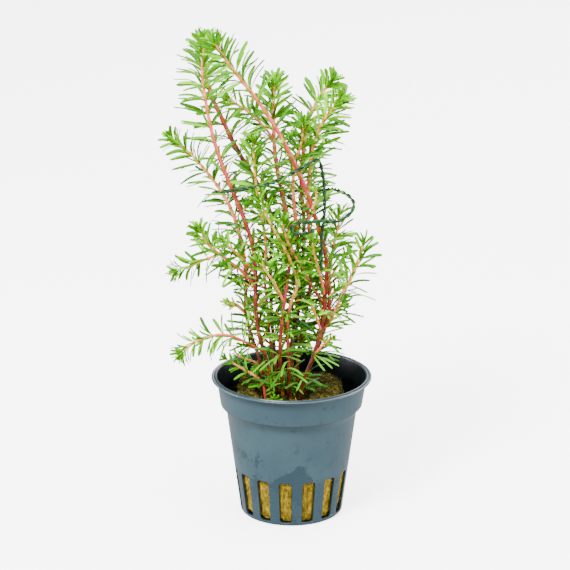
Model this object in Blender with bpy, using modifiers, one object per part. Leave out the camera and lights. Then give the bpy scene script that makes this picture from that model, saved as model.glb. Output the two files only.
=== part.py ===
"""Rotala grown as a bunch in a slotted net pot, rooted in rock wool and gathered by a wire tie.

Lengths are in millimetres, and each finished mesh is scaled to metres.
The origin is the centre of the pot's underside. +Z is up and the front faces -Y.
"""
import math
import random

import bmesh
import bpy
import numpy as np
from mathutils import Matrix, Vector

MM = 0.001
GAP = 0.3
FRONT = np.array((0.0, -1.0, 0.0))

# Pot
POT_HEIGHT = 48.0
LIP_RADIUS = 27.0
FOOT_RADIUS = 16.3
FLOOR_THICKNESS = 1.0
COLLAR_FOOT = 34.4
MOUTH_RADIUS = 22.6
POT_SEGMENTS = 30
MERGE_DISTANCE = 0.00005

# The pot's section as radius and height: floor, inner wall, lip, collar and underside
POT_SECTION = [
    (0, FLOOR_THICKNESS), (15.2, FLOOR_THICKNESS), (16.2, 2.6),
    (20.9, COLLAR_FOOT), (22.6, 37.2), (24.1, 45.2),
    (25.0, POT_HEIGHT), (26.7, POT_HEIGHT), (LIP_RADIUS, 47.3), (25.2, 46.3),
    (23.7, 37.8), (22.8, 35.6), (21.8, COLLAR_FOOT),
    (17.3, 1.6), (FOOT_RADIUS, 0), (0, 0),
]

# Openings in the pot's wall and floor
SLOT_COUNT = 15
SLOT_WIDTH_TOP = 4.1
SLOT_WIDTH_FOOT = 3.6
SLOT_FOOT = 1.4
SLOT_TOP = 16.0
SLOT_CORNER = 0.9
FIRST_SLOT_ANGLE = math.radians(-96.3)
WALL_RADIUS_AT_SLOTS = 17.9
WALL_LEAN = math.radians(9.0)
DRAIN_COUNT = 6
DRAIN_WIDTH = 2.4
DRAIN_LENGTH = 6.0
DRAIN_RADIUS = 9.5
SLOT_CUTTER_DEPTH = 8.0
DRAIN_CUTTER_HEIGHT = 6.0

# Rock wool
WOOL_POINTS = 18
WOOL_TOP = 43.0
WELL_CENTRE = (-2.5, -1.5)
WELL_FLOOR = 32.0
WELL_TOP_RADII = (10.0, 9.0)
WELL_FLOOR_RADII = (9.0, 8.0)
WELL_RIM = 0.4

# The plug's outside from its foot up: half width, how square (2 is round), shift of its centre, height
WOOL_SECTIONS = [
    (14.7, 2.0, 0, FLOOR_THICKNESS + GAP), (15.7, 2.0, 0, 3.2), (17.4, 2.0, 0, 14.5),
    (17.2, 2.6, -0.1, 24.0), (17.2, 3.2, -0.3, 33.5), (17.2, 4.5, -0.7, 38.5),
    (17.2, 5.0, -1.0, WOOL_TOP - 0.7), (16.5, 5.0, -1.0, WOOL_TOP),
]

# Wire tie
TIE_DIAMETER = 1.1
TIE_STEP = 3.5

# Smooth routes
CURVE_DIVISIONS = 12
SMOOTHING_PASSES = 12
ROUTE_STEP = 1.5

# Stems
STEM_SIDES = 4
QUARTER = 2 * math.pi / STEM_SIDES
TIP_RADIUS = 0.36
SHOOT_RADIUS = 0.5
THICKENING_LENGTH = 60.0
TIP_TAPER = 0.6
NODE_SWELL = 1.08
BAND_HEIGHT = 0.45
FIRST_NODE = 1.2
BARE_FOOT = 2.5
TRIM_STEP = 0.1
TRIM_SPACE = 0.4
NODE_SPACING_TIP = 2.4
NODE_SPACING_FOOT = 6.6
SPACING_GROWTH = 45.0
BARE_STEP = 12.0
FULL_WHORLS = 22.0
SPARSE_WHORLS = 66.0
SPARSE_SHARE = 0.75

# Leaves: they grow from YOUNG_SHARE of their length, rising at YOUNG_RISE, to full length, rising less
LEAF_WIDTH = 1.15
LEAF_ROOT_DEPTH = 0.7
GROWN_LENGTH = 16.0
YOUNG_SHARE = 0.42
YOUNG_RISE = 66.0
RISE_LOST = 46.0
LENGTH_CURVE = 0.7
RISE_CURVE = 0.6
SHORTEST_SHARE = 0.88
LENGTH_SPREAD = 0.2
RISE_SPREAD = math.radians(10)
TURN_ATTEMPTS = 5
TURN_STEP = 0.31

# Each try at a leaf: its share of the length wanted, and how much more it rises
LEAF_TRIES = ((1, 0), (0.96, 0.25), (0.92, -0.25), (0.8, 0.1))

# Room that a leaf needs
LEAF_ROD_SPREAD = 0.42
LEAF_ROD_RADIUS = 0.16
LEAF_ROD_START = 0.9
LEAF_CLEARANCE = 0.12
OWN_REACH = 2.3
POT_MARGIN = 1.2
WELL_MARGIN = 1.5
WELL_FLOOR_MARGIN = 2.0
MARGIN_CHECKS = 7
FOOT_HEIGHT = WELL_FLOOR + GAP

# Each long stem: radius at its foot, length of its full leaves, and its route from foot to tip
LONG_STEMS = {
    "stem_left": (0.75, 10.8, [
        (-6.5, -3.5, FOOT_HEIGHT), (-6.5, -4, 44), (-8, -4, 54), (-11, -5, 64), (-12, -5, 77), (-12, -5, 89),
        (-14, -5, 99), (-18, -5, 110), (-23, -5, 123), (-26, -4, 133), (-28, -3, 144), (-29, -2, 154),
        (-27.5, -2, 163)]),
    "stem_tall_left": (0.65, 10.5, [
        (-4.5, 2, FOOT_HEIGHT), (-5.5, 3, 52), (-6.5, 3, 64), (-7, 3, 77), (-7, 3.5, 88), (-6.5, 5, 96),
        (-7.5, 6, 105), (-12, 8, 113.5), (-18.5, 10, 124), (-23.5, 12, 134.5), (-27.5, 13.5, 143.5),
        (-29, 14.5, 152), (-30, 15, 159)]),
    "stem_leaning": (0.75, 11.0, [
        (1.5, -3.5, FOOT_HEIGHT), (4, -4, 47), (7, -4, 55), (10, -4, 66), (11, -5, 77), (11.5, -8, 90),
        (8.5, -10, 103), (4, -11.5, 117), (-2, -12.5, 130.5), (-9.5, -13.5, 143.5), (-19, -14, 156),
        (-25, -14, 165)]),
    "stem_middle": (0.65, 11.0, [
        (-2.5, -5.5, FOOT_HEIGHT), (-3, -6, 46), (-4, -8, 57), (-3.5, -9, 67), (-2, -8.4, 80), (-0.4, -6, 91),
        (-1, -1.5, 101), (-3, 0.5, 110), (-5.5, 3, 123.5), (-6, 5, 138), (-5.5, 6, 147.5)]),
    "stem_back": (0.65, 10.8, [
        (0, 2.5, FOOT_HEIGHT), (0, 3, 50), (1.5, 4, 62), (3, 5, 76), (4, 6, 90), (4, 7.5, 102), (3, 9, 113.5),
        (4, 10.5, 124), (5.5, 12, 133), (9, 13.5, 140), (13.5, 15, 146)]),
    "stem_inner": (0.6, 10.3, [
        (-1.2, -0.8, FOOT_HEIGHT), (-1, -1, 51), (0.5, -1, 64), (2, -1, 76), (2, -1.5, 88), (2, -3, 98),
        (0.8, -5, 108), (0.5, -5, 119), (3, -4, 129), (4, -4, 136)]),
    "stem_right": (0.6, 10.8, [
        (2.2, 0.8, FOOT_HEIGHT), (2, 1, 54), (4, 1, 65), (6, 2, 77), (6.5, 3, 89), (5.5, 3, 101),
        (5.5, 1.5, 113.5), (7, -1, 127.5), (10.5, -3, 137), (16, -5, 144)]),
    "stem_far_left": (0.65, 10.3, [
        (-8.4, -1, FOOT_HEIGHT), (-10.5, -2, 53), (-13.5, -1, 62), (-15.5, 0, 72), (-15, 1.5, 82),
        (-17, 4, 94.5), (-20.5, 6, 105), (-26, 8, 113.5), (-33.5, 10, 122), (-40, 11, 127)]),
    "stem_slender": (0.5, 9.5, [
        (-4, -1.5, FOOT_HEIGHT), (-5, -2, 48), (-7, -2, 59), (-8, -2, 71), (-9, -3, 84), (-8.5, -3.5, 95),
        (-10.5, -5, 107.5), (-12, -7, 119.5), (-12.5, -8.5, 131)]),
    "stem_yellow": (0.55, 10.0, [
        (0.3, -6.3, FOOT_HEIGHT), (-0.5, -6, 46), (-1, -6, 55), (-1.5, -6, 66), (-0.5, -6.5, 75), (2, -8, 82),
        (0, -10, 90), (-3.5, -11, 98), (-7.5, -11, 105), (-10.5, -11, 112)]),
    "stem_trunk_right": (0.7, 10.0, [
        (4, -1.2, FOOT_HEIGHT), (4.5, 0, 46), (7.5, 0, 54), (10, 0, 61), (12.5, 0, 70), (12.5, 0, 79),
        (13, 1.5, 87.5), (15, 3.5, 97), (16.5, 5, 103.5)]),
    "stem_short_front": (0.5, 6.0, [
        (-8.4, -4.4, FOOT_HEIGHT), (-9.2, -4.6, 45), (-11.5, -4.5, 48.5), (-17.5, -4, 52), (-22.5, -3, 55)]),
    "stem_short_back": (0.45, 6.0, [
        (-6.6, 4.2, FOOT_HEIGHT), (-8, 5, 46), (-10, 5.4, 49), (-15, 6, 51.2), (-19, 8, 52)]),
}

# Each side shoot: the stem that it forks from, length of its full leaves, and its route from fork to tip
SHOOTS = {
    "shoot_top_left": ("stem_middle", 9.0, [(-5.8, 4, 128), (-9.5, 3, 133.5), (-15, 1, 139), (-21, 0, 143)]),
    "shoot_by_tie": ("stem_leaning", 5.5, [(6.4, -11, 108.5), (8, -11.8, 113), (7.5, -12, 116)]),
    "shoot_right_inner": ("stem_leaning", 8.0, [
        (11, -5, 77), (9.5, -8.4, 85), (7.5, -10.6, 93), (6.5, -11.4, 99)]),
    "shoot_right_cross": ("stem_trunk_right", 9.5, [
        (12.5, 0, 70), (7.5, -3.4, 79), (2.8, -6.4, 88.5), (-1.5, -10.5, 98), (-3, -11.5, 105)]),
    "shoot_far_right": ("stem_trunk_right", 10.0, [
        (10.8, 0, 64), (13.5, -3.5, 69.5), (17, -7, 79), (21.5, -9, 89), (23.5, -10, 97.5)]),
    "shoot_right_fork": ("stem_trunk_right", 7.0, [(12.6, 0.4, 81), (15.5, 5, 85), (19.5, 8, 89.5)]),
    "shoot_right_small": ("stem_trunk_right", 6.0, [(12.3, 0, 67), (14, 3.5, 69), (17.5, 6.5, 70.5)]),
    "shoot_left_upper": ("stem_left", 9.2, [
        (-12, -5, 80.5), (-16, -8, 86.5), (-22, -11, 92.5), (-27.5, -12.5, 97.5), (-30.5, -13, 103)]),
    "shoot_left_front": ("stem_left", 8.2, [(-12, -5, 85), (-16.5, -11, 92.5), (-23, -15, 99.5)]),
    "shoot_far_left": ("stem_far_left", 9.2, [
        (-16.2, 3, 89.5), (-22, 4, 89.5), (-28.5, 6.5, 86.5), (-35, 8.5, 83), (-39, 9, 81.5)]),
    "shoot_left_small": ("stem_far_left", 5.5, [(-15.4, 0, 69.5), (-18, -3, 73), (-21.5, -5, 75)]),
    "shoot_drooping": ("stem_left", 8.8, [
        (-9, -4.4, 57.5), (-16.5, -8.5, 63), (-23, -11, 66), (-28.5, -12.5, 65), (-33.5, -13, 63),
        (-36.5, -13, 59.5)]),
    "shoot_front": ("stem_middle", 8.5, [
        (-2.6, -8.4, 76), (-4.5, -11, 81.5), (-8, -12, 87.5), (-11.5, -12, 92)]),
    "shoot_low_right": ("stem_leaning", 4.5, [(9.8, -4, 65), (8, -7.5, 71), (6.5, -9.5, 77)]),
    "shoot_low_inner": ("stem_leaning", 4.5, [(7.6, -4, 56.5), (11, -6, 61), (13.5, -7, 63.5)]),
}

# Route of the wire tie: the eye of its end, round the bunch by the right and the back, up and down in front
TIE_ROUTE = [
    (7.4, -15, 102.8), (4.5, -15, 101.8), (1.5, -15, 101.4), (-1, -15, 103.2), (1.5, -15, 105.2),
    (5.5, -15, 105.6), (10, -14.5, 105.8), (14.5, -13, 105), (18, -11.5, 106.5), (20.5, -9, 109.5),
    (18.5, -5.5, 112), (15.5, -2, 112.5), (13.5, 4, 111.5), (9, 11.5, 109), (1, 13.8, 108), (-8, 14, 108),
    (-18, 13, 108.5), (-24.4, 10, 109), (-26, 4, 110), (-24, -3, 112), (-18, -9.5, 115),
    (-9.5, -13.8, 117.5), (-0.5, -15, 121.5), (6, -14.8, 125.5), (8.6, -14.4, 126.4), (9.6, -14, 123),
    (10.4, -13.8, 118), (10.6, -13.6, 112.5), (10.6, -12.9, 108.6), (10.1, -12, 104.5), (9.8, -11.5, 100),
    (9.7, -11.4, 95.7), (9.6, -11.8, 91.5), (9.8, -12.1, 88.4),
]

# Name: colour, roughness
FINISHES = {
    "pot": ((0.13, 0.20, 0.23, 1.0), 0.4),
    "wool": ((0.20, 0.13, 0.03, 1.0), 0.95),
    "tie": ((0.02, 0.10, 0.04, 1.0), 0.35),
    "plant": ((0.12, 0.35, 0.03, 1.0), 0.5),
}


def clear_scene():
    """Remove everything that the scene holds."""
    for old in list(bpy.data.objects):
        bpy.data.objects.remove(old, do_unlink=True)


def new_collection(name):
    """A collection under the scene's own."""
    collection = bpy.data.collections.new(name)
    bpy.context.scene.collection.children.link(collection)
    return collection


def add_material(part, finish):
    """Give a part a material of its own, named for it."""
    colour, roughness = FINISHES[finish]
    material = bpy.data.materials.new(part.name)
    material.use_nodes = True
    shader = material.node_tree.nodes["Principled BSDF"]
    shader.inputs["Base Color"].default_value = colour
    shader.inputs["Roughness"].default_value = roughness
    shader.inputs["Metallic"].default_value = 0.0
    part.data.materials.append(material)


def add_part(name, bm, collection):
    """Turn a finished bmesh in millimetres into an object in metres."""
    bmesh.ops.transform(bm, matrix=Matrix.Scale(MM, 4), verts=bm.verts[:])
    mesh = bpy.data.meshes.new(name)
    bm.to_mesh(mesh)
    bm.free()
    part = bpy.data.objects.new(name, mesh)
    collection.objects.link(part)
    return part


def loft(rings):
    """A closed body through rings of equal numbers of points, and the side faces between each two."""
    bm = bmesh.new()
    bmesh.ops.create_cone(bm, cap_ends=True, segments=len(rings[0]), radius1=1, radius2=1, depth=1)
    cap = max(bm.faces, key=lambda face: face.normal.z)
    foot = [next(edge.other_vert(vert) for edge in vert.link_edges if edge.other_vert(vert) not in cap.verts)
            for vert in cap.verts]
    for low, high, start, end in zip(foot, cap.verts, rings[0], rings[1]):
        low.co = start
        high.co = end
    sides = [side_faces(cap)]
    for ring in rings[2:]:
        cap = bmesh.ops.extrude_discrete_faces(bm, faces=[cap])["faces"][0]
        for vert, point in zip(cap.verts, ring):
            vert.co = point
        sides.append(side_faces(cap))
    bm.normal_update()
    return bm, sides


def side_faces(cap):
    """The faces that stand round a cap, in the order of its edges."""
    return [next(face for face in loop.edge.link_faces if face is not cap) for loop in cap.loops]


def smooth_route(points, step):
    """Points a step apart along a smooth curve through the given ones."""
    points = np.array(points, dtype=float)
    ends = np.vstack((2 * points[0] - points[1], points, 2 * points[-1] - points[-2]))
    fine = []
    for before, start, end, after in zip(ends, ends[1:], ends[2:], ends[3:]):
        for t in np.linspace(0, 1, CURVE_DIVISIONS, endpoint=False):
            straight = 2 * start + (end - before) * t
            bent = (2 * before - 5 * start + 4 * end - after) * t ** 2
            turning = (3 * start - before - 3 * end + after) * t ** 3
            fine.append((straight + bent + turning) / 2)
    fine.append(points[-1])
    fine = np.array(fine)
    for _ in range(SMOOTHING_PASSES):
        fine[1:-1] = (fine[:-2] + 2 * fine[1:-1] + fine[2:]) / 4
    along = np.concatenate(([0], np.cumsum(np.linalg.norm(np.diff(fine, axis=0), axis=1))))
    count = max(2, round(along[-1] / step)) + 1
    places = np.linspace(0, along[-1], count)
    return np.column_stack([np.interp(places, along, fine[:, axis]) for axis in range(3)])


def unit(vector):
    """The vector at length one."""
    return vector / np.linalg.norm(vector)


def segment_distances(a, b, starts, ends):
    """Least distance from segment a-b to each of many segments."""
    d1 = b - a
    d2 = ends - starts
    r = a - starts
    aa = d1 @ d1
    ee = np.einsum("ij,ij->i", d2, d2)
    bb = d2 @ d1
    cc = r @ d1
    ff = np.einsum("ij,ij->i", d2, r)
    denominator = np.maximum(aa * ee - bb * bb, 1e-9)
    s = np.clip((bb * ff - cc * ee) / denominator, 0, 1)
    t = np.clip((bb * s + ff) / ee, 0, 1)
    s = np.clip((bb * t - cc) / aa, 0, 1)
    apart = r + s[:, None] * d1 - t[:, None] * d2
    return np.linalg.norm(apart, axis=1)


class Crowd:
    """What is already in place, as round-ended rods, each with the piece and node that it belongs to."""

    def __init__(self):
        self.starts = np.zeros((0, 3))
        self.ends = np.zeros((0, 3))
        self.radii = np.zeros(0)
        self.owners = []
        self.marks = np.zeros(0)

    def add(self, start, end, radius, owner, mark):
        """Put one rod in place."""
        self.starts = np.vstack((self.starts, start))
        self.ends = np.vstack((self.ends, end))
        self.radii = np.append(self.radii, radius)
        self.owners.append(owner)
        self.marks = np.append(self.marks, mark)

    def add_tube(self, points, radii, owner):
        """Put a tube in place as rods, marked by how far each lies from the tube's tip."""
        to_tip = np.concatenate((np.cumsum(np.linalg.norm(np.diff(points[::-1], axis=0), axis=1))[::-1], [0]))
        for index in range(len(points) - 1):
            radius = max(radii[index], radii[index + 1])
            self.add(points[index], points[index + 1], radius, owner, (to_tip[index] + to_tip[index + 1]) / 2)

    def others(self, owner, mark):
        """Which rods a leaf has to clear: all but those of its own stem near its node."""
        own = np.array([name == owner for name in self.owners])
        return ~(own & (np.abs(self.marks - mark) < OWN_REACH))

    def is_clear(self, rods, others):
        """Whether all the rods of a leaf keep clear of the others."""
        starts, ends, radii = self.starts[others], self.ends[others], self.radii[others] + LEAF_ROD_RADIUS
        return all(np.all(segment_distances(start, end, starts, ends) - radii > LEAF_CLEARANCE)
                   for start, end in rods)


def leaf_rods(root, tip, across):
    """Three rods that stand for a leaf's blade: along its middle and its two edges."""
    start = root + unit(tip - root) * LEAF_ROD_START
    offsets = (-LEAF_ROD_SPREAD, 0, LEAF_ROD_SPREAD)
    return [(start + across * offset, tip + across * offset) for offset in offsets]


def clear_of_pot(start, end):
    """Whether a leaf stays off the pot's lip and wall and off the rock wool."""
    for t in np.linspace(0, 1, MARGIN_CHECKS):
        x, y, z = start + (end - start) * t
        in_well = math.hypot((x - WELL_CENTRE[0]) / (WELL_TOP_RADII[0] - WELL_MARGIN),
                             (y - WELL_CENTRE[1]) / (WELL_TOP_RADII[1] - WELL_MARGIN)) < 1
        if z < POT_HEIGHT + POT_MARGIN and math.hypot(x, y) > MOUTH_RADIUS:
            return False
        if z < WOOL_TOP + POT_MARGIN and not in_well:
            return False
        if z < WELL_FLOOR + WELL_FLOOR_MARGIN:
            return False
    return True


class Stem:
    """One stem's route, thickness and nodes, counted from its tip."""

    def __init__(self, name, foot_radius, leaf_length, route):
        self.name = name
        self.leaf_length = leaf_length
        self.foot_radius = foot_radius
        self.follow(smooth_route(route, ROUTE_STEP))

    def follow(self, points):
        """Measure a route and carry a side direction along it without twist."""
        self.points = points
        steps = np.diff(points, axis=0)
        self.along = np.concatenate(([0], np.cumsum(np.linalg.norm(steps, axis=1))))
        self.length = self.along[-1]
        ways = [unit(way) for way in np.vstack((steps, steps[-1:]))]
        side = np.cross(ways[0], FRONT)
        self.sides = []
        for way in ways:
            side = unit(side - way * (side @ way))
            self.sides.append(side)
        self.sides = np.array(self.sides)

    def read(self, table, place):
        """The row of a table at this distance from the foot."""
        return np.array([np.interp(place, self.along, table[:, axis]) for axis in range(3)])

    def at(self, from_tip):
        """Place, direction and side direction at this distance from the tip."""
        place = self.length - from_tip
        direction = unit(self.read(self.points, place + 1) - self.read(self.points, place - 1))
        side = self.read(self.sides, place)
        return self.read(self.points, place), direction, unit(side - direction * (side @ direction))

    def radius(self, from_tip):
        """The stem thickens from its tip to its foot."""
        return TIP_RADIUS + (self.foot_radius - TIP_RADIUS) * min(1, from_tip / THICKENING_LENGTH)

    def nodes(self):
        """Distances from the tip to the nodes, which stand further apart down the stem."""
        places = []
        place = FIRST_NODE
        while place < self.length - BARE_FOOT:
            places.append(place)
            share = min(1, place / SPACING_GROWTH)
            place += NODE_SPACING_TIP + (NODE_SPACING_FOOT - NODE_SPACING_TIP) * share
        return places

    def trim_foot(self, parent):
        """Start a side shoot just clear of the stem that it forks from."""
        starts, ends = parent.points[:-1], parent.points[1:]
        reach = parent.foot_radius + SHOOT_RADIUS + GAP
        for place in np.arange(0, self.length, TRIM_STEP):
            point, direction, side = self.at(self.length - place)
            if segment_distances(point, point + direction * 0.01, starts, ends).min() > reach:
                kept = self.along > place + TRIM_SPACE
                self.follow(np.vstack((point, self.points[kept])))
                return


def turned_axes(direction, side, angle):
    """The side direction turned by an angle round the stem, and the direction across it."""
    other = np.cross(direction, side)
    return (side * math.cos(angle) + other * math.sin(angle),
            other * math.cos(angle) - side * math.sin(angle))


def leaf_shape(stem, from_tip):
    """Length and rise of the leaves at this distance from the tip."""
    grown = min(1, from_tip / GROWN_LENGTH)
    length = stem.leaf_length * (YOUNG_SHARE + (1 - YOUNG_SHARE) * grown ** LENGTH_CURVE)
    rise = math.radians(YOUNG_RISE - RISE_LOST * grown ** RISE_CURVE)
    return length, rise


def whorl_step(from_tip):
    """Every node near the tip keeps its leaves, then every second and, low down, every fourth."""
    if from_tip < FULL_WHORLS:
        return 1
    return 2 if from_tip < SPARSE_WHORLS else 4


def plan_leaves(stem, crowd):
    """Choose, node by node, a turn of the whorl and the leaves that have room there."""
    whorls = []
    turn = random.Random(stem.name).random() * math.pi
    for number, from_tip in enumerate(stem.nodes()):
        chance = random.Random(f"{stem.name} {number}")
        point, direction, side_way = stem.at(from_tip)
        others = crowd.others(stem.name, from_tip)
        if number % whorl_step(from_tip):
            continue
        length, rise = leaf_shape(stem, from_tip)
        wanted = 1.0 if from_tip < FULL_WHORLS else SPARSE_SHARE
        best = []
        for attempt in range(TURN_ATTEMPTS):
            turned = turn + (attempt * TURN_STEP if attempt % 2 else -attempt * TURN_STEP)
            leaves = []
            for side in range(STEM_SIDES):
                if chance.random() > wanted:
                    continue
                outward, across = turned_axes(direction, side_way, turned + side * QUARTER)
                size = length * (SHORTEST_SHARE + LENGTH_SPREAD * chance.random())
                lift = rise + RISE_SPREAD * (2 * chance.random() - 1)
                for shorter, raised in LEAF_TRIES:
                    way = outward * math.cos(lift + raised) + direction * math.sin(lift + raised)
                    root = point + outward * stem.radius(from_tip) * LEAF_ROOT_DEPTH
                    tip = root + way * size * shorter
                    if clear_of_pot(root, tip) and crowd.is_clear(leaf_rods(root, tip, across), others):
                        leaves.append((side, root, tip, across))
                        break
            if len(leaves) > len(best):
                best = leaves
                chosen = turned
            if len(best) >= STEM_SIDES * wanted - 1:
                break
        if best:
            whorls.append((from_tip, chosen, best))
            for side, root, tip, across in best:
                for start, end in leaf_rods(root, tip, across):
                    crowd.add(start, end, LEAF_ROD_RADIUS, stem.name, from_tip)
            turn = chosen + math.pi / STEM_SIDES
    return whorls


def stem_ring(stem, from_tip, angle, swell=1.0):
    """Corner points of the stem's section, with a flat side facing the given angle."""
    point, direction, side_way = stem.at(from_tip)
    radius = stem.radius(from_tip) * swell
    corners = []
    for side in range(STEM_SIDES):
        outward, across = turned_axes(direction, side_way, angle + (side - 0.5) * QUARTER)
        corners.append(point + outward * radius)
    return corners


def make_stem(stem, whorls, collection):
    """Loft the stem through its nodes and draw each leaf out of the node's narrow side faces."""
    rings = []
    bands = {}
    stations = sorted(whorls, key=lambda whorl: -whorl[0])
    angle = stations[0][1] if stations else 0
    reached = stem.length
    rings.append(stem_ring(stem, reached, angle))
    for from_tip, turned, leaves in stations:
        bare = reached - from_tip
        extras = int(bare // BARE_STEP)
        for extra in range(1, extras + 1):
            rings.append(stem_ring(stem, reached - extra * bare / (extras + 1), angle))
        angle = turned - QUARTER * round((turned - angle) / QUARTER)
        shift = round((turned - angle) / QUARTER)
        rings.append(stem_ring(stem, from_tip + BAND_HEIGHT / 2, angle, NODE_SWELL))
        rings.append(stem_ring(stem, from_tip - BAND_HEIGHT / 2, angle, NODE_SWELL))
        bands[len(rings) - 2] = [((side + shift) % STEM_SIDES, tip, across)
                                 for side, root, tip, across in leaves]
        reached = from_tip - BAND_HEIGHT / 2
    rings.append(stem_ring(stem, 0.0, angle, TIP_TAPER))
    bm, sides = loft(rings)
    for band, leaves in bands.items():
        for side, tip, across in leaves:
            draw_leaf(bm, sides[band][side], Vector(tip), Vector(across))
    part = add_part(stem.name, bm, collection)
    add_material(part, "plant")
    return part


def draw_leaf(bm, root, tip, across):
    """Draw one leaf out of a face: as deep as the face at its root, and flat at its tip."""
    centre = root.calc_center_median()
    blade = bmesh.ops.extrude_discrete_faces(bm, faces=[root])["faces"][0]
    for vert in blade.verts:
        vert.co = tip + across * math.copysign(LEAF_WIDTH / 2, (vert.co - centre).dot(across))
    bmesh.ops.remove_doubles(bm, verts=blade.verts[:], dist=1e-5)


def turned_body(name, profile, segments, collection):
    """Turn a section round the upright axis."""
    mesh = bpy.data.meshes.new(name)
    points = [(radius * MM, 0, height * MM) for radius, height in profile]
    mesh.from_pydata(points, [(i, i + 1) for i in range(len(points) - 1)], [])
    body = bpy.data.objects.new(name, mesh)
    collection.objects.link(body)
    screw = body.modifiers.new("Turn", "SCREW")
    screw.axis = "Z"
    screw.angle = 2 * math.pi
    screw.steps = segments
    screw.render_steps = segments
    screw.use_merge_vertices = True
    screw.merge_threshold = MERGE_DISTANCE
    screw.use_smooth_shade = True
    return body


def slot_cutters(collection):
    """Blocks for the tall slots round the foot and the drainage slots in the floor."""
    bm = bmesh.new()
    height = SLOT_TOP - SLOT_FOOT
    for number in range(SLOT_COUNT):
        block = bmesh.ops.create_cube(bm, size=1)["verts"]
        bmesh.ops.scale(bm, vec=(SLOT_CUTTER_DEPTH, 1, height), verts=block)
        for vert in block:
            vert.co.y *= SLOT_WIDTH_TOP if vert.co.z > 0 else SLOT_WIDTH_FOOT
        corners = [edge for edge in bm.edges if edge.verts[0] in block and edge.verts[1] in block
                   and edge.verts[0].co.z > 0 and edge.verts[1].co.z > 0
                   and abs(edge.verts[0].co.x - edge.verts[1].co.x) > 1]
        bevelled = bmesh.ops.bevel(bm, geom=corners, offset=SLOT_CORNER, segments=1, affect="EDGES")
        body = set(block) | set(bevelled["verts"])
        body = [vert for vert in body if vert.is_valid]
        angle = FIRST_SLOT_ANGLE + number * 2 * math.pi / SLOT_COUNT
        place = (Matrix.Rotation(angle, 4, "Z")
                 @ Matrix.Translation((WALL_RADIUS_AT_SLOTS, 0, SLOT_FOOT + height / 2))
                 @ Matrix.Rotation(WALL_LEAN, 4, "Y"))
        bmesh.ops.transform(bm, matrix=place, verts=body)
    for number in range(DRAIN_COUNT):
        block = bmesh.ops.create_cube(bm, size=1)["verts"]
        bmesh.ops.scale(bm, vec=(DRAIN_LENGTH, DRAIN_WIDTH, DRAIN_CUTTER_HEIGHT), verts=block)
        angle = number * 2 * math.pi / DRAIN_COUNT
        place = Matrix.Rotation(angle, 4, "Z") @ Matrix.Translation((DRAIN_RADIUS, 0, 0))
        bmesh.ops.transform(bm, matrix=place, verts=block)
    cutter = add_part("slot_cutters", bm, collection)
    cutter.hide_render = True
    cutter.display_type = "WIRE"
    return cutter


def make_pot(collection, cutters):
    """The turned pot with its slots cut."""
    pot = turned_body("net_pot", POT_SECTION, POT_SEGMENTS, collection)
    cut = pot.modifiers.new("Slots", "BOOLEAN")
    cut.operation = "DIFFERENCE"
    cut.solver = "EXACT"
    cut.object = slot_cutters(cutters)
    add_material(pot, "pot")
    return pot


def wool_ring(half_width, power, shift, height):
    """A ring between round (power 2) and square (a high power)."""
    ring = []
    for number in range(WOOL_POINTS):
        angle = 2 * math.pi * number / WOOL_POINTS
        reach = half_width / (abs(math.cos(angle)) ** power + abs(math.sin(angle)) ** power) ** (1 / power)
        ring.append(Vector((shift + reach * math.cos(angle), shift + reach * math.sin(angle), height)))
    return ring


def well_ring(radii, height):
    """A level oval round the well."""
    angles = [2 * math.pi * number / WOOL_POINTS for number in range(WOOL_POINTS)]
    return [Vector((WELL_CENTRE[0] + radii[0] * math.cos(angle),
                    WELL_CENTRE[1] + radii[1] * math.sin(angle), height)) for angle in angles]


def make_wool(collection):
    """The plug: round where the pot squeezes it, square at its top, with the well that the stems stand in."""
    outside = [wool_ring(*section) for section in WOOL_SECTIONS]
    well = [well_ring(WELL_TOP_RADII, WOOL_TOP - WELL_RIM), well_ring(WELL_FLOOR_RADII, WELL_FLOOR)]
    bm = loft(outside + well)[0]
    wool = add_part("wool_plug", bm, collection)
    add_material(wool, "wool")
    return wool


def make_tie(collection):
    """The wire tie, as one rod of the twisted pair's thickness along its route."""
    points = smooth_route(TIE_ROUTE, TIE_STEP)
    curve = bpy.data.curves.new("wire_tie_route", "CURVE")
    curve.dimensions = "3D"
    curve.bevel_depth = TIE_DIAMETER / 2 * MM
    curve.bevel_resolution = 1
    curve.use_fill_caps = True
    spline = curve.splines.new("POLY")
    spline.points.add(len(points) - 1)
    for place, point in zip(spline.points, points):
        place.co = (point[0] * MM, point[1] * MM, point[2] * MM, 1)
    tie = bpy.data.objects.new("wire_tie", curve)
    collection.objects.link(tie)
    add_material(tie, "tie")
    return points


def build():
    """Make the pot, the plug, the tie and every stem and shoot."""
    clear_scene()
    parts = new_collection("rotala")
    cutters = new_collection("cutters")
    make_pot(parts, cutters)
    make_wool(parts)
    tie_points = make_tie(parts)
    stems = {name: Stem(name, radius, length, route) for name, (radius, length, route) in LONG_STEMS.items()}
    for name, (parent, length, route) in SHOOTS.items():
        stems[name] = Stem(name, SHOOT_RADIUS, length, route)
        stems[name].trim_foot(stems[parent])
    crowd = Crowd()
    crowd.add_tube(tie_points, np.full(len(tie_points), TIE_DIAMETER / 2), "wire_tie")
    for stem in stems.values():
        radii = [stem.radius(stem.length - place) for place in stem.along]
        crowd.add_tube(stem.points, radii, stem.name)
    for stem in stems.values():
        make_stem(stem, plan_leaves(stem, crowd), parts)


build()
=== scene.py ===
import math
import random

import bmesh
import bpy
import numpy as np
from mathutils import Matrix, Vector, noise


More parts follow.
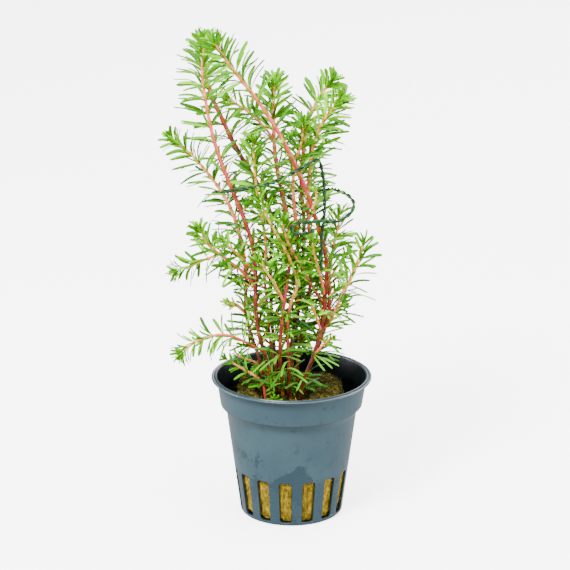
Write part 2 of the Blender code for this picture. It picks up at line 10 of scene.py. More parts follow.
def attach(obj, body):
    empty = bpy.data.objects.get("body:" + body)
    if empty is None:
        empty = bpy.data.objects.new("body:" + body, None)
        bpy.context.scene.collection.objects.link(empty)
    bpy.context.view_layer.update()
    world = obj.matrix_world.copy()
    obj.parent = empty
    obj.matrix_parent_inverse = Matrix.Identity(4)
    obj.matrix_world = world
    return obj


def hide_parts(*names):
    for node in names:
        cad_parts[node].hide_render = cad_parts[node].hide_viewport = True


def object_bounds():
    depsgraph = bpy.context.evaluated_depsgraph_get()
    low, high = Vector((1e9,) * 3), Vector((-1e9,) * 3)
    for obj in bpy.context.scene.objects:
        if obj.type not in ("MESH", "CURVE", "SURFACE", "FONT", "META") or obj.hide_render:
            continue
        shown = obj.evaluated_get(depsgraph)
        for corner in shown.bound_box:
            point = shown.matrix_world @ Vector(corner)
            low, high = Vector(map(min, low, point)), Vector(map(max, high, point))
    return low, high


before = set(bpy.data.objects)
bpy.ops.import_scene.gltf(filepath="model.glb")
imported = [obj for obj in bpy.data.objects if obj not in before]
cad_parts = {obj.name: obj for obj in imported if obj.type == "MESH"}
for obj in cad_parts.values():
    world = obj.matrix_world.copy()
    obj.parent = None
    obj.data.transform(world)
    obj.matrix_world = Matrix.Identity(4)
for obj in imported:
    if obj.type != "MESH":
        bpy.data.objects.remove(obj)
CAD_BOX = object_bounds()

MM = 0.001
GAP = 0.3
FRONT = np.array((0.0, -1.0, 0.0))
UP = np.array((0.0, 0.0, 1.0))
RIGHT = np.array((1.0, 0.0, 0.0))

# Camera
CAMERA_PLACE = (-2.2, -752.7, 319.0)
CAMERA_PITCH = math.radians(17.65)
CAMERA_LENS = 150.0

# Pot
POT_HEIGHT = 48.0
FOOT_RADIUS = 16.3
FLOOR_THICKNESS = 1.0
COLLAR_FOOT = 34.4
MOUTH_RADIUS = 22.6
SLOT_COUNT = 15
SLOT_WIDTH_TOP = 4.45
SLOT_WIDTH_FOOT = 4.0
SLOT_FOOT = 1.15
SLOT_TOP = 16.0
SLOT_CORNER = 0.9
FIRST_SLOT_ANGLE = math.radians(-96.3)

# Rock wool
WOOL_TOP = 43.0
WELL_CENTRE = (-2.5, -1.5)
WELL_FLOOR = 32.0
WELL_TOP_RADII = (10.0, 9.0)
WELL_FLOOR_RADII = (9.0, 8.0)
WELL_RIM = 0.4
WOOL_SECTIONS = [
    (14.7, 2.0, 0, FLOOR_THICKNESS + GAP), (15.7, 2.0, 0, 3.2), (17.4, 2.0, 0, 14.5),
    (17.2, 2.6, -0.1, 24.0), (17.2, 3.2, -0.3, 33.5), (17.2, 4.5, -0.7, 38.5),
    (17.2, 5.0, -1.0, WOOL_TOP - 0.7), (16.5, 5.0, -1.0, WOOL_TOP),
]

# Wire tie
TIE_DIAMETER = 1.1
TIE_STEP = 3.5
STRAND_DIAMETER = 0.66
STRAND_PITCH = 6.0

# Smooth routes
CURVE_DIVISIONS = 12
SMOOTHING_PASSES = 12
ROUTE_STEP = 1.5

# Stems
STEM_SIDES = 4
QUARTER = 2 * math.pi / STEM_SIDES
TIP_RADIUS = 0.36
SHOOT_RADIUS = 0.5
THICKENING_LENGTH = 60.0
FIRST_NODE = 1.2
BARE_FOOT = 2.5
TRIM_STEP = 0.1
TRIM_SPACE = 0.4
NODE_SPACING_TIP = 2.4
NODE_SPACING_FOOT = 6.6
SPACING_GROWTH = 45.0
FULL_WHORLS = 22.0
SPARSE_WHORLS = 66.0
SPARSE_SHARE = 0.75

# Leaves: they grow from YOUNG_SHARE of their length, rising at YOUNG_RISE, to full length, rising less
LEAF_ROOT_DEPTH = 0.7
GROWN_LENGTH = 16.0
YOUNG_SHARE = 0.42
YOUNG_RISE = 66.0
RISE_LOST = 46.0
LENGTH_CURVE = 0.7
RISE_CURVE = 0.6
SHORTEST_SHARE = 0.88
LENGTH_SPREAD = 0.2
RISE_SPREAD = math.radians(10)
TURN_ATTEMPTS = 5
TURN_STEP = 0.31
LEAF_TRIES = ((1, 0), (0.96, 0.25), (0.92, -0.25), (0.8, 0.1))

# Room that a leaf needs
LEAF_ROD_SPREAD = 0.42
LEAF_ROD_RADIUS = 0.16
LEAF_ROD_START = 0.9
LEAF_CLEARANCE = 0.12
OWN_REACH = 2.3
POT_MARGIN = 1.2
WELL_MARGIN = 1.5
WELL_FLOOR_MARGIN = 2.0
MARGIN_CHECKS = 7
FOOT_HEIGHT = WELL_FLOOR + GAP

# Each long stem: radius at its foot, length of its full leaves, and its route from foot to tip
LONG_STEMS = {
    "stem_left": (0.75, 10.8, [
        (-6.5, -3.5, FOOT_HEIGHT), (-6.5, -4, 44), (-8, -4, 54), (-11, -5, 64), (-12, -5, 77), (-12, -5, 89),
        (-14, -5, 99), (-18, -5, 110), (-23, -5, 123), (-26, -4, 133), (-28, -3, 144), (-29, -2, 154),
        (-27.5, -2, 163)]),
    "stem_tall_left": (0.65, 10.5, [
        (-4.5, 2, FOOT_HEIGHT), (-5.5, 3, 52), (-6.5, 3, 64), (-7, 3, 77), (-7, 3.5, 88), (-6.5, 5, 96),
        (-7.5, 6, 105), (-12, 8, 113.5), (-18.5, 10, 124), (-23.5, 12, 134.5), (-27.5, 13.5, 143.5),
        (-29, 14.5, 152), (-30, 15, 159)]),
    "stem_leaning": (0.75, 11.0, [
        (1.5, -3.5, FOOT_HEIGHT), (4, -4, 47), (7, -4, 55), (10, -4, 66), (11, -5, 77), (11.5, -8, 90),
        (8.5, -10, 103), (4, -11.5, 117), (-2, -12.5, 130.5), (-9.5, -13.5, 143.5), (-19, -14, 156),
        (-25, -14, 165)]),
    "stem_middle": (0.65, 11.0, [
        (-2.5, -5.5, FOOT_HEIGHT), (-3, -6, 46), (-4, -8, 57), (-3.5, -9, 67), (-2, -8.4, 80), (-0.4, -6, 91),
        (-1, -1.5, 101), (-3, 0.5, 110), (-5.5, 3, 123.5), (-6, 5, 138), (-5.5, 6, 147.5)]),
    "stem_back": (0.65, 10.8, [
        (0, 2.5, FOOT_HEIGHT), (0, 3, 50), (1.5, 4, 62), (3, 5, 76), (4, 6, 90), (4, 7.5, 102), (3, 9, 113.5),
        (4, 10.5, 124), (5.5, 12, 133), (9, 13.5, 140), (13.5, 15, 146)]),
    "stem_inner": (0.6, 10.3, [
        (-1.2, -0.8, FOOT_HEIGHT), (-1, -1, 51), (0.5, -1, 64), (2, -1, 76), (2, -1.5, 88), (2, -3, 98),
        (0.8, -5, 108), (0.5, -5, 119), (3, -4, 129), (4, -4, 136)]),
    "stem_right": (0.6, 10.8, [
        (2.2, 0.8, FOOT_HEIGHT), (2, 1, 54), (4, 1, 65), (6, 2, 77), (6.5, 3, 89), (5.5, 3, 101),
        (5.5, 1.5, 113.5), (7, -1, 127.5), (10.5, -3, 137), (16, -5, 144)]),
    "stem_far_left": (0.65, 10.3, [
        (-8.4, -1, FOOT_HEIGHT), (-10.5, -2, 53), (-13.5, -1, 62), (-15.5, 0, 72), (-15, 1.5, 82),
        (-17, 4, 94.5), (-20.5, 6, 105), (-26, 8, 113.5), (-33.5, 10, 122), (-40, 11, 127)]),
    "stem_slender": (0.5, 9.5, [
        (-4, -1.5, FOOT_HEIGHT), (-5, -2, 48), (-7, -2, 59), (-8, -2, 71), (-9, -3, 84), (-8.5, -3.5, 95),
        (-10.5, -5, 107.5), (-12, -7, 119.5), (-12.5, -8.5, 131)]),
    "stem_yellow": (0.55, 10.0, [
        (0.3, -6.3, FOOT_HEIGHT), (-0.5, -6, 46), (-1, -6, 55), (-1.5, -6, 66), (-0.5, -6.5, 75), (2, -8, 82),
        (0, -10, 90), (-3.5, -11, 98), (-7.5, -11, 105), (-10.5, -11, 112)]),
    "stem_trunk_right": (0.7, 10.0, [
        (4, -1.2, FOOT_HEIGHT), (4.5, 0, 46), (7.5, 0, 54), (10, 0, 61), (12.5, 0, 70), (12.5, 0, 79),
        (13, 1.5, 87.5), (15, 3.5, 97), (16.5, 5, 103.5)]),
    "stem_short_front": (0.5, 6.0, [
        (-8.4, -4.4, FOOT_HEIGHT), (-9.2, -4.6, 45), (-11.5, -4.5, 48.5), (-17.5, -4, 52), (-22.5, -3, 55)]),
    "stem_short_back": (0.45, 6.0, [
        (-6.6, 4.2, FOOT_HEIGHT), (-8, 5, 46), (-10, 5.4, 49), (-15, 6, 51.2), (-19, 8, 52)]),
}

# Each side shoot: the stem that it forks from, length of its full leaves, and its route from fork to tip
SHOOTS = {
    "shoot_top_left": ("stem_middle", 9.0, [(-5.8, 4, 128), (-9.5, 3, 133.5), (-15, 1, 139), (-21, 0, 143)]),
    "shoot_by_tie": ("stem_leaning", 5.5, [(6.4, -11, 108.5), (8, -11.8, 113), (7.5, -12, 116)]),
    "shoot_right_inner": ("stem_leaning", 8.0, [
        (11, -5, 77), (9.5, -8.4, 85), (7.5, -10.6, 93), (6.5, -11.4, 99)]),
    "shoot_right_cross": ("stem_trunk_right", 9.5, [
        (12.5, 0, 70), (7.5, -3.4, 79), (2.8, -6.4, 88.5), (-1.5, -10.5, 98), (-3, -11.5, 105)]),
    "shoot_far_right": ("stem_trunk_right", 10.0, [
        (10.8, 0, 64), (13.5, -3.5, 69.5), (17, -7, 79), (21.5, -9, 89), (23.5, -10, 97.5)]),
    "shoot_right_fork": ("stem_trunk_right", 7.0, [(12.6, 0.4, 81), (15.5, 5, 85), (19.5, 8, 89.5)]),
    "shoot_right_small": ("stem_trunk_right", 6.0, [(12.3, 0, 67), (14, 3.5, 69), (17.5, 6.5, 70.5)]),
    "shoot_left_upper": ("stem_left", 9.2, [
        (-12, -5, 80.5), (-16, -8, 86.5), (-22, -11, 92.5), (-27.5, -12.5, 97.5), (-30.5, -13, 103)]),
    "shoot_left_front": ("stem_left", 8.2, [(-12, -5, 85), (-16.5, -11, 92.5), (-23, -15, 99.5)]),
    "shoot_far_left": ("stem_far_left", 9.2, [
        (-16.2, 3, 89.5), (-22, 4, 89.5), (-28.5, 6.5, 86.5), (-35, 8.5, 83), (-39, 9, 81.5)]),
    "shoot_left_small": ("stem_far_left", 5.5, [(-15.4, 0, 69.5), (-18, -3, 73), (-21.5, -5, 75)]),
    "shoot_drooping": ("stem_left", 8.8, [
        (-9, -4.4, 57.5), (-16.5, -8.5, 63), (-23, -11, 66), (-28.5, -12.5, 65), (-33.5, -13, 63),
        (-36.5, -13, 59.5)]),
    "shoot_front": ("stem_middle", 8.5, [
        (-2.6, -8.4, 76), (-4.5, -11, 81.5), (-8, -12, 87.5), (-11.5, -12, 92)]),
    "shoot_low_right": ("stem_leaning", 4.5, [(9.8, -4, 65), (8, -7.5, 71), (6.5, -9.5, 77)]),
    "shoot_low_inner": ("stem_leaning", 4.5, [(7.6, -4, 56.5), (11, -6, 61), (13.5, -7, 63.5)]),
}

# Route of the wire tie: the eye of its end, round the bunch by the right and the back, up and down in front
TIE_ROUTE = [
    (7.4, -15, 102.8), (4.5, -15, 101.8), (1.5, -15, 101.4), (-1, -15, 103.2), (1.5, -15, 105.2),
    (5.5, -15, 105.6), (10, -14.5, 105.8), (14.5, -13, 105), (18, -11.5, 106.5), (20.5, -9, 109.5),
    (18.5, -5.5, 112), (15.5, -2, 112.5), (13.5, 4, 111.5), (9, 11.5, 109), (1, 13.8, 108), (-8, 14, 108),
    (-18, 13, 108.5), (-24.4, 10, 109), (-26, 4, 110), (-24, -3, 112), (-18, -9.5, 115),
    (-9.5, -13.8, 117.5), (-0.5, -15, 121.5), (6, -14.8, 125.5), (8.6, -14.4, 126.4), (9.6, -14, 123),
    (10.4, -13.8, 118), (10.6, -13.6, 112.5), (10.6, -12.9, 108.6), (10.1, -12, 104.5), (9.8, -11.5, 100),
    (9.7, -11.4, 95.7), (9.6, -11.8, 91.5), (9.8, -12.1, 88.4),
]

# How red each stem is: at its tip, at MID_BLUSH from it, and at its foot (0 green, 0.5 pink, 1 dark red)
MID_BLUSH = 38.0
DEEP_BLUSH = 62.0
DEEP_SHARE = 0.62
BLUSH = {
    "stem_left": (0.30, 0.62, 0.86), "stem_tall_left": (0.36, 0.84, 0.90), "stem_leaning": (0.34, 0.58, 0.82),
    "stem_middle": (0.30, 0.62, 0.70), "stem_back": (0.30, 0.60, 0.88), "stem_inner": (0.26, 0.60, 0.90),
    "stem_right": (0.24, 0.42, 0.86), "stem_far_left": (0.24, 0.42, 0.86), "stem_slender": (0.16, 0.36, 0.86),
    "stem_yellow": (0.10, 0.22, 0.72), "stem_trunk_right": (0.22, 0.60, 0.70),
    "stem_short_front": (0.04, 0.90, 0.95), "stem_short_back": (0.16, 0.40, 0.60),
    "shoot_far_right": (0.22, 0.42, 0.50), "shoot_left_upper": (0.26, 0.70, 0.80),
    "shoot_drooping": (0.2, 0.68, 0.9),
}
SHOOT_BLUSH = (0.24, 0.62, 0.72)

# Linear colours
LEAF_COLOURS = [
    (0.0, (0.190, 0.55, 0.0002, 1)), (0.2, (0.105, 0.39, 0.006, 1)), (0.48, (0.138, 0.42, 0.022, 1)),
    (0.76, (0.145, 0.39, 0.028, 1)), (1.0, (0.105, 0.27, 0.02, 1)),
]
LEAF_ROOT = (0.22, 0.38, 0.004, 1)
LEAF_RIB = (0.12, 0.36, 0.002, 1)
# Painted light: each blade's colour is multiplied between a shaded tone and a brighter sunlit tone
LEAF_SHADE_AND_SUN = ((0.13, 0.26, 0.3, 1), (1.7, 1.52, 1.0, 1))
# Painted shade that darkens the leaves low down in the bunch
LEAF_LOW_SHADE = (0.52, 0.72, 1.0, 1)
LEAF_MOTTLE = (0.45, 0.62, 0.3, 1)
STEM_COLOURS = [
    (0.0, (0.50, 0.55, 0.02, 1)), (0.2, (0.95, 0.52, 0.06, 1)), (0.42, (0.92, 0.22, 0.095, 1)),
    (0.6, (0.56, 0.050, 0.036, 1)), (0.8, (0.21, 0.014, 0.012, 1)), (0.92, (0.12, 0.018, 0.008, 1)),
    (1.0, (0.055, 0.018, 0.005, 1)),
]
STEM_RING = (0.33, 0.13, 0.008, 1)
STEM_SPECK = (0.16, 0.03, 0.015, 1)
POT_COLOURS = ((0.028, 0.057, 0.073, 1), (0.039, 0.074, 0.091, 1))
POT_DAMP = (0.014, 0.035, 0.048, 1)
POT_SCUFF = (0.156, 0.225, 0.252, 1)
# Painted shade: near black for the pot's inner face and for the groove and bead along the lip
POT_INSIDE_SHADE = (0.0018, 0.003, 0.0036, 1)
POT_INSIDE_STREAKS = (0.006, 0.010, 0.012, 1)
GOLD_COLOURS = [
    (0.0, (0.07, 0.042, 0.003, 1)), (0.3, (0.20, 0.13, 0.008, 1)), (0.62, (0.36, 0.25, 0.015, 1)),
    (1.0, (0.62, 0.46, 0.05, 1)),
]
MOSS_COLOURS = [
    (0.0, (0.003, 0.002, 0.001, 1)), (0.3, (0.018, 0.014, 0.002, 1)), (0.62, (0.070, 0.064, 0.005, 1)),
    (1.0, (0.34, 0.27, 0.03, 1)),
]
GOLD_PATCH = (0.12, 0.075, 0.005, 1)
TIE_COLOURS = ((0.002, 0.022, 0.004, 1), (0.02, 0.13, 0.02, 1))
FLOOR_COLOUR = (0.95, 0.95, 0.95, 1)
FLOOR_GLOW = 3.4

# How a leaf's age, and its painted light from shade to sunlit brightness, vary from blade to blade
LEAF_AGE_SPREAD = 0.5
LEAF_SHADE_CYCLES = 7.0
LEAF_SHADE_CURVE = 1.4

# Places in metres, each pair from where a look starts to where it is full
LEAF_LOW_SHADE_HEIGHTS = (0.064, 0.050)
DAMP_RISE = (0.031, 0.012)
DAMP_LIMIT = (0.033, 0.024)
DAMP_RIBS = (0.0175, 0.0145)
DAMP_SPOT = (-0.001, -0.0185, 0.0165)
DAMP_SPOT_REACH = (0.0095, 0.003)
MOSS_HEIGHTS = (0.020, 0.036)


# Materials

def node(tree, kind, inputs=None, **settings):
    """A shader node with its settings made, its numbers set and its sockets linked."""
    made = tree.nodes.new(kind)
    for key, value in settings.items():
        setattr(made, key, value)
    for key, value in (inputs or {}).items():
        if isinstance(value, bpy.types.NodeSocket):
            tree.links.new(value, made.inputs[key])
        else:
            made.inputs[key].default_value = value
    return made


def new_look(name, **numbers):
    """A material, its node tree and its shader, with what is the same all over set on the shader."""
    material = bpy.data.materials.new(name)
    material.use_nodes = True
    shader = material.node_tree.nodes["Principled BSDF"]
    for key, value in numbers.items():
        shader.inputs[key.replace("_", " ")].default_value = value
    return material, material.node_tree, shader


def dress(tree, shader, colour, roughness, relief):
    """Link what a surface's patterns drive."""
    for key, value in (("Base Color", colour), ("Roughness", roughness), ("Normal", relief)):
        if value is not None:
            tree.links.new(value, shader.inputs[key])


def mix(tree, factor, first, second, blend="MIX"):
    """One colour over another."""
    inputs = {0: factor, 6: first, 7: second}
    return node(tree, "ShaderNodeMix", inputs, data_type="RGBA", blend_type=blend).outputs[2]


def maths(tree, operation, first, second=0.0, third=0.0):
    """A sum on one to three numbers."""
    return node(tree, "ShaderNodeMath", {0: first, 1: second, 2: third}, operation=operation).outputs[0]


def times(tree, first, second):
    """One number times another."""
    return maths(tree, "MULTIPLY", first, second)


def cover(tree, factor, share, colour, over, blend="MIX"):
    """A colour with up to this share of another over it."""
    return mix(tree, times(tree, factor, share), colour, over, blend)


def spread(tree, value, low, high, to_low=0.0, to_high=1.0):
    """A number's range stretched to another, and held at its ends."""
    inputs = {"Value": value, "From Min": low, "From Max": high, "To Min": to_low, "To Max": to_high}
    return node(tree, "ShaderNodeMapRange", inputs).outputs[0]


def ramp(tree, value, stops):
    """Colours along a number."""
    made = node(tree, "ShaderNodeValToRGB", {"Fac": value})
    elements = made.color_ramp.elements
    while len(elements) < len(stops):
        elements.new(0.5)
    for element, (place, colour) in zip(elements, stops):
        element.position = place
        element.color = colour
    return made.outputs["Color"]


def place_in(tree, stretch=(1, 1, 1)):
    """Places in the object, in metres, stretched to draw patterns out."""
    coords = node(tree, "ShaderNodeTexCoord").outputs["Object"]
    return node(tree, "ShaderNodeMapping", {"Vector": coords, "Scale": stretch}).outputs[0]


def height_of(tree, place):
    """The height of a place, in metres."""
    return node(tree, "ShaderNodeSeparateXYZ", {"Vector": place}).outputs["Z"]


def cloud(tree, place, size, detail=4.0, roughness=0.55, distortion=0.0):
    """Noise with patches of about this size in millimetres."""
    inputs = {"Vector": place, "Scale": 1 / (size * MM), "Detail": detail, "Roughness": roughness,
              "Distortion": distortion}
    return node(tree, "ShaderNodeTexNoise", inputs).outputs[0]


def patches(tree, place, size, ends=(0.0, 1.0), low=0.3, high=0.7, **noise_settings):
    """Noise of this size whose usual range, low to high, is stretched between two ends."""
    return spread(tree, cloud(tree, place, size, **noise_settings), low, high, *ends)


def read(tree, name):
    """A number that the mesh carries."""
    return node(tree, "ShaderNodeAttribute", attribute_name=name).outputs["Fac"]


def emboss(tree, height, depth):
    """A bump of this depth in millimetres."""
    inputs = {"Height": height, "Distance": depth * MM, "Strength": 1.0}
    return node(tree, "ShaderNodeBump", inputs).outputs[0]


def leaf_look():
    """Satin blades: yellow-green while young, deep green when old, with a pale rib and root; painted shade
    and sunlit brightening vary at random blade by blade, and painted shade darkens them low down.
    """
    material, tree, shader = new_look("leaf", Specular_IOR_Level=0.08, Subsurface_Weight=0.15,
                                      Subsurface_Scale=0.0006, Subsurface_Radius=(0.5, 1.0, 0.2))
    place = place_in(tree)
    tint = read(tree, "tint")
    youngest = maths(tree, "SUBTRACT", read(tree, "age"), LEAF_AGE_SPREAD / 2)
    colour = ramp(tree, maths(tree, "MULTIPLY_ADD", tint, LEAF_AGE_SPREAD, youngest), LEAF_COLOURS)
    # Painted shade and sunlit brightening, picked at random for each blade
    sun_share = maths(tree, "POWER", maths(tree, "FRACT", times(tree, tint, LEAF_SHADE_CYCLES)), LEAF_SHADE_CURVE)
    colour = mix(tree, 1.0, colour, mix(tree, sun_share, *LEAF_SHADE_AND_SUN), "MULTIPLY")
    # Painted shade: leaves darken below these heights, where the bunch shades them
    low = spread(tree, height_of(tree, place), *LEAF_LOW_SHADE_HEIGHTS)
    colour = mix(tree, low, colour, LEAF_LOW_SHADE, "MULTIPLY")
    colour = cover(tree, patches(tree, place, 1.6), 0.25, colour, LEAF_MOTTLE, "MULTIPLY")
    colour = cover(tree, spread(tree, read(tree, "blade"), 0.3, 0.0), 0.55, colour, LEAF_ROOT)
    colour = cover(tree, spread(tree, read(tree, "edge"), 0.35, 0.0), 0.3, colour, LEAF_RIB)
    dress(tree, shader, colour, patches(tree, place, 0.9, (0.2, 0.38)),
          emboss(tree, cloud(tree, place, 0.35, 2.0), 0.04))
    return material


def stem_look():
    """Smooth fleshy stems: green-yellow at the tips, pink below, dark red at the foot, tan at the nodes."""
    material, tree, shader = new_look("stem", Specular_IOR_Level=0.4, Subsurface_Weight=0.12,
                                      Subsurface_Scale=0.0006, Subsurface_Radius=(1.0, 0.4, 0.2))
    streaks = place_in(tree, (1, 1, 0.16))
    waver = times(tree, maths(tree, "SUBTRACT", cloud(tree, streaks, 1.1), 0.5), 0.34)
    colour = ramp(tree, maths(tree, "ADD", read(tree, "blush"), waver), STEM_COLOURS)
    colour = cover(tree, read(tree, "joint"), 0.92, colour, STEM_RING)
    colour = cover(tree, patches(tree, place_in(tree), 0.7, low=0.56, high=0.7), 0.35, colour, STEM_SPECK)
    dress(tree, shader, colour, patches(tree, streaks, 0.8, (0.16, 0.3)),
          emboss(tree, cloud(tree, streaks, 0.5, 3.0), 0.06))
    return material


def pot_look():
    """Moulded blue-grey plastic with a satin face, a few blots, damp low down, and near black painted shade
    inside.
    """
    material, tree, shader = new_look("pot", Specular_IOR_Level=0.4)
    place = place_in(tree)
    height = height_of(tree, place)
    from_spot = node(tree, "ShaderNodeVectorMath", {0: place, 1: DAMP_SPOT}, operation="DISTANCE")
    wetness = maths(tree, "ADD", spread(tree, height, *DAMP_RISE, 0, 0.1),
                    spread(tree, from_spot.outputs["Value"], *DAMP_SPOT_REACH, 0, 0.2))
    damp = maths(tree, "ADD", wetness, cloud(tree, place, 10, 5, 0.6, 0.5))
    damp = times(tree, spread(tree, damp, 0.62, 0.68), spread(tree, height, *DAMP_LIMIT))
    damp = maths(tree, "MAXIMUM", damp, spread(tree, height, *DAMP_RIBS, 0.0, 0.7))
    colour = mix(tree, patches(tree, place, 16, detail=3), *POT_COLOURS)
    colour = cover(tree, damp, 0.75, colour, POT_DAMP)
    colour = cover(tree, patches(tree, place, 2.7, low=0.63, high=0.70, detail=2.5), 0.5, colour, POT_DAMP)
    drawn = place_in(tree, (1.5, 1.5, 0.6))
    scuffs = patches(tree, drawn, 1.1, low=0.70, high=0.78, detail=6, roughness=0.75)
    colour = cover(tree, scuffs, 0.35, colour, POT_SCUFF)
    # Painted shade: the inner face, and the groove and bead along the lip, darken to near black by their
    # share
    colour = cover(tree, read(tree, "inside"), 0.98, colour, POT_INSIDE_SHADE)
    rough = patches(tree, place, 6, (0.28, 0.40), detail=5, roughness=0.6)
    rough = maths(tree, "MULTIPLY_ADD", damp, -0.10, rough)
    rough = maths(tree, "MAXIMUM", rough, spread(tree, read(tree, "inside"), 0.75, 1, 0, 0.75))
    ripple = maths(tree, "MULTIPLY_ADD", cloud(tree, place, 5.0, 3), 1.2, cloud(tree, place, 0.5, 3))
    dress(tree, shader, colour, rough, emboss(tree, ripple, 0.05))
    return material


def inside_shade_look():
    """The pot's inner face in painted shade: near black, with faint paler streaks down it."""
    material, tree, shader = new_look("pot_inside", Specular_IOR_Level=0.05)
    inner_streaks = cloud(tree, place_in(tree, (1, 1, 0.25)), 2.4, 5, 0.65)
    dress(tree, shader, mix(tree, spread(tree, inner_streaks, 0.45, 0.7), POT_INSIDE_SHADE, POT_INSIDE_STREAKS),
          spread(tree, inner_streaks, 0.3, 0.7, 0.5, 0.3), emboss(tree, inner_streaks, 0.08))
    return material


def wool_look(name):
    """Damp mineral fibre: golden brown below, dark olive-brown on top."""
    material, tree, shader = new_look(name, Roughness=0.85, Specular_IOR_Level=0.12)
    place = place_in(tree)
    streaks = patches(tree, place_in(tree, (1, 1, 0.4)), 0.8, low=0.35, high=0.65, detail=6, roughness=0.7)
    specks = patches(tree, place, 0.5, low=0.40, high=0.55, detail=4, roughness=0.8)
    golden = ramp(tree, times(tree, streaks, spread(tree, specks, 0, 1, 0.55, 1.05)), GOLD_COLOURS)
    blots = patches(tree, place, 6, low=0.46, high=0.60, detail=4, roughness=0.6)
    golden = cover(tree, blots, 0.5, golden, GOLD_PATCH)
    clumps = patches(tree, place, 1.0, low=0.35, high=0.65, detail=6, roughness=0.85)
    mossy = ramp(tree, clumps, MOSS_COLOURS)
    colour = mix(tree, spread(tree, height_of(tree, place), *MOSS_HEIGHTS), golden, mossy)
    layers = cloud(tree, place_in(tree, (1, 1, 2.4)), 0.5, 5, 0.7)
    dress(tree, shader, colour, None, emboss(tree, layers, 0.35))
    return material


def tie_look():
    """Dark green coating on the wire, with paler patches painted on as highlights."""
    material, tree, shader = new_look("tie", Specular_IOR_Level=0.3)
    place = place_in(tree)
    # Painted highlights: paler green patches over the dark coating
    colour = mix(tree, patches(tree, place, 1.2, low=0.45, high=0.75, detail=4), *TIE_COLOURS)
    dress(tree, shader, colour, patches(tree, place, 0.8, (0.26, 0.42)),
          emboss(tree, cloud(tree, place, 0.3, 3), 0.03))
    return material


def floor_look():
    """A plain pale surface."""
    return new_look("floor", Roughness=0.9, Specular_IOR_Level=0.1, Base_Color=FLOOR_COLOUR,
                    Emission_Color=(1, 1, 1, 1), Emission_Strength=FLOOR_GLOW)[0]


# Routes, stems and leaves

def smooth_route(points, step):
    """Points a step apart along a smooth curve through the given ones."""
    points = np.array(points, dtype=float)
    ends = np.vstack((2 * points[0] - points[1], points, 2 * points[-1] - points[-2]))
    fine = []
    for before, start, end, after in zip(ends, ends[1:], ends[2:], ends[3:]):
        for t in np.linspace(0, 1, CURVE_DIVISIONS, endpoint=False):
            straight = 2 * start + (end - before) * t
            bent = (2 * before - 5 * start + 4 * end - after) * t ** 2
            turning = (3 * start - before - 3 * end + after) * t ** 3
            fine.append((straight + bent + turning) / 2)
    fine.append(points[-1])
    fine = np.array(fine)
    for _ in range(SMOOTHING_PASSES):
        fine[1:-1] = (fine[:-2] + 2 * fine[1:-1] + fine[2:]) / 4
    along = np.concatenate(([0], np.cumsum(np.linalg.norm(np.diff(fine, axis=0), axis=1))))
    count = max(2, round(along[-1] / step)) + 1
    places = np.linspace(0, along[-1], count)
    return np.column_stack([np.interp(places, along, fine[:, axis]) for axis in range(3)])


def unit(vector):
    """The vector at length one."""
    return vector / np.linalg.norm(vector)


def units(vectors):
    """Each of many vectors at length one."""
    return vectors / np.linalg.norm(vectors, axis=-1, keepdims=True)


def segment_distances(a, b, starts, ends):
    """Least distance from segment a-b to each of many segments."""
    d1 = b - a
    d2 = ends - starts
    r = a - starts
    aa = d1 @ d1
    ee = np.einsum("ij,ij->i", d2, d2)
    bb = d2 @ d1
    cc = r @ d1
    ff = np.einsum("ij,ij->i", d2, r)
    denominator = np.maximum(aa * ee - bb * bb, 1e-9)
    s = np.clip((bb * ff - cc * ee) / denominator, 0, 1)
    t = np.clip((bb * s + ff) / ee, 0, 1)
    s = np.clip((bb * t - cc) / aa, 0, 1)
    apart = r + s[:, None] * d1 - t[:, None] * d2
    return np.linalg.norm(apart, axis=1)


class Crowd:
    """What is already in place, as round-ended rods, each with the piece and node that it belongs to."""

    def __init__(self):
        self.starts = np.zeros((0, 3))
        self.ends = np.zeros((0, 3))
        self.radii = np.zeros(0)
        self.owners = []
        self.marks = np.zeros(0)

    def add(self, start, end, radius, owner, mark):
        """Put one rod in place."""
        self.starts = np.vstack((self.starts, start))
        self.ends = np.vstack((self.ends, end))
        self.radii = np.append(self.radii, radius)
        self.owners.append(owner)
        self.marks = np.append(self.marks, mark)

    def add_tube(self, points, radii, owner):
        """Put a tube in place as rods, marked by how far each lies from the tube's tip."""
        to_tip = np.concatenate((np.cumsum(np.linalg.norm(np.diff(points[::-1], axis=0), axis=1))[::-1], [0]))
        for index in range(len(points) - 1):
            radius = max(radii[index], radii[index + 1])
            self.add(points[index], points[index + 1], radius, owner, (to_tip[index] + to_tip[index + 1]) / 2)

    def others(self, owner, mark):
        """Which rods a leaf has to clear: all but those of its own stem near its node."""
        own = np.array([name == owner for name in self.owners])
        return ~(own & (np.abs(self.marks - mark) < OWN_REACH))

    def has_room(self, start, end, others):
        """Whether the middle line of a thin blade or twig keeps off the others."""
        apart = segment_distances(start, end, self.starts[others], self.ends[others])
        return np.all(apart - self.radii[others] > FINE_CLEARANCE)

    def is_clear(self, rods, others):
        """Whether all the rods of a leaf keep clear of the others."""
        starts, ends, radii = self.starts[others], self.ends[others], self.radii[others] + LEAF_ROD_RADIUS
        return all(np.all(segment_distances(start, end, starts, ends) - radii > LEAF_CLEARANCE)
                   for start, end in rods)


def leaf_rods(root, tip, across):
    """Three rods that stand for a leaf's blade: along its middle and its two edges."""
    start = root + unit(tip - root) * LEAF_ROD_START
    offsets = (-LEAF_ROD_SPREAD, 0, LEAF_ROD_SPREAD)
    return [(start + across * offset, tip + across * offset) for offset in offsets]


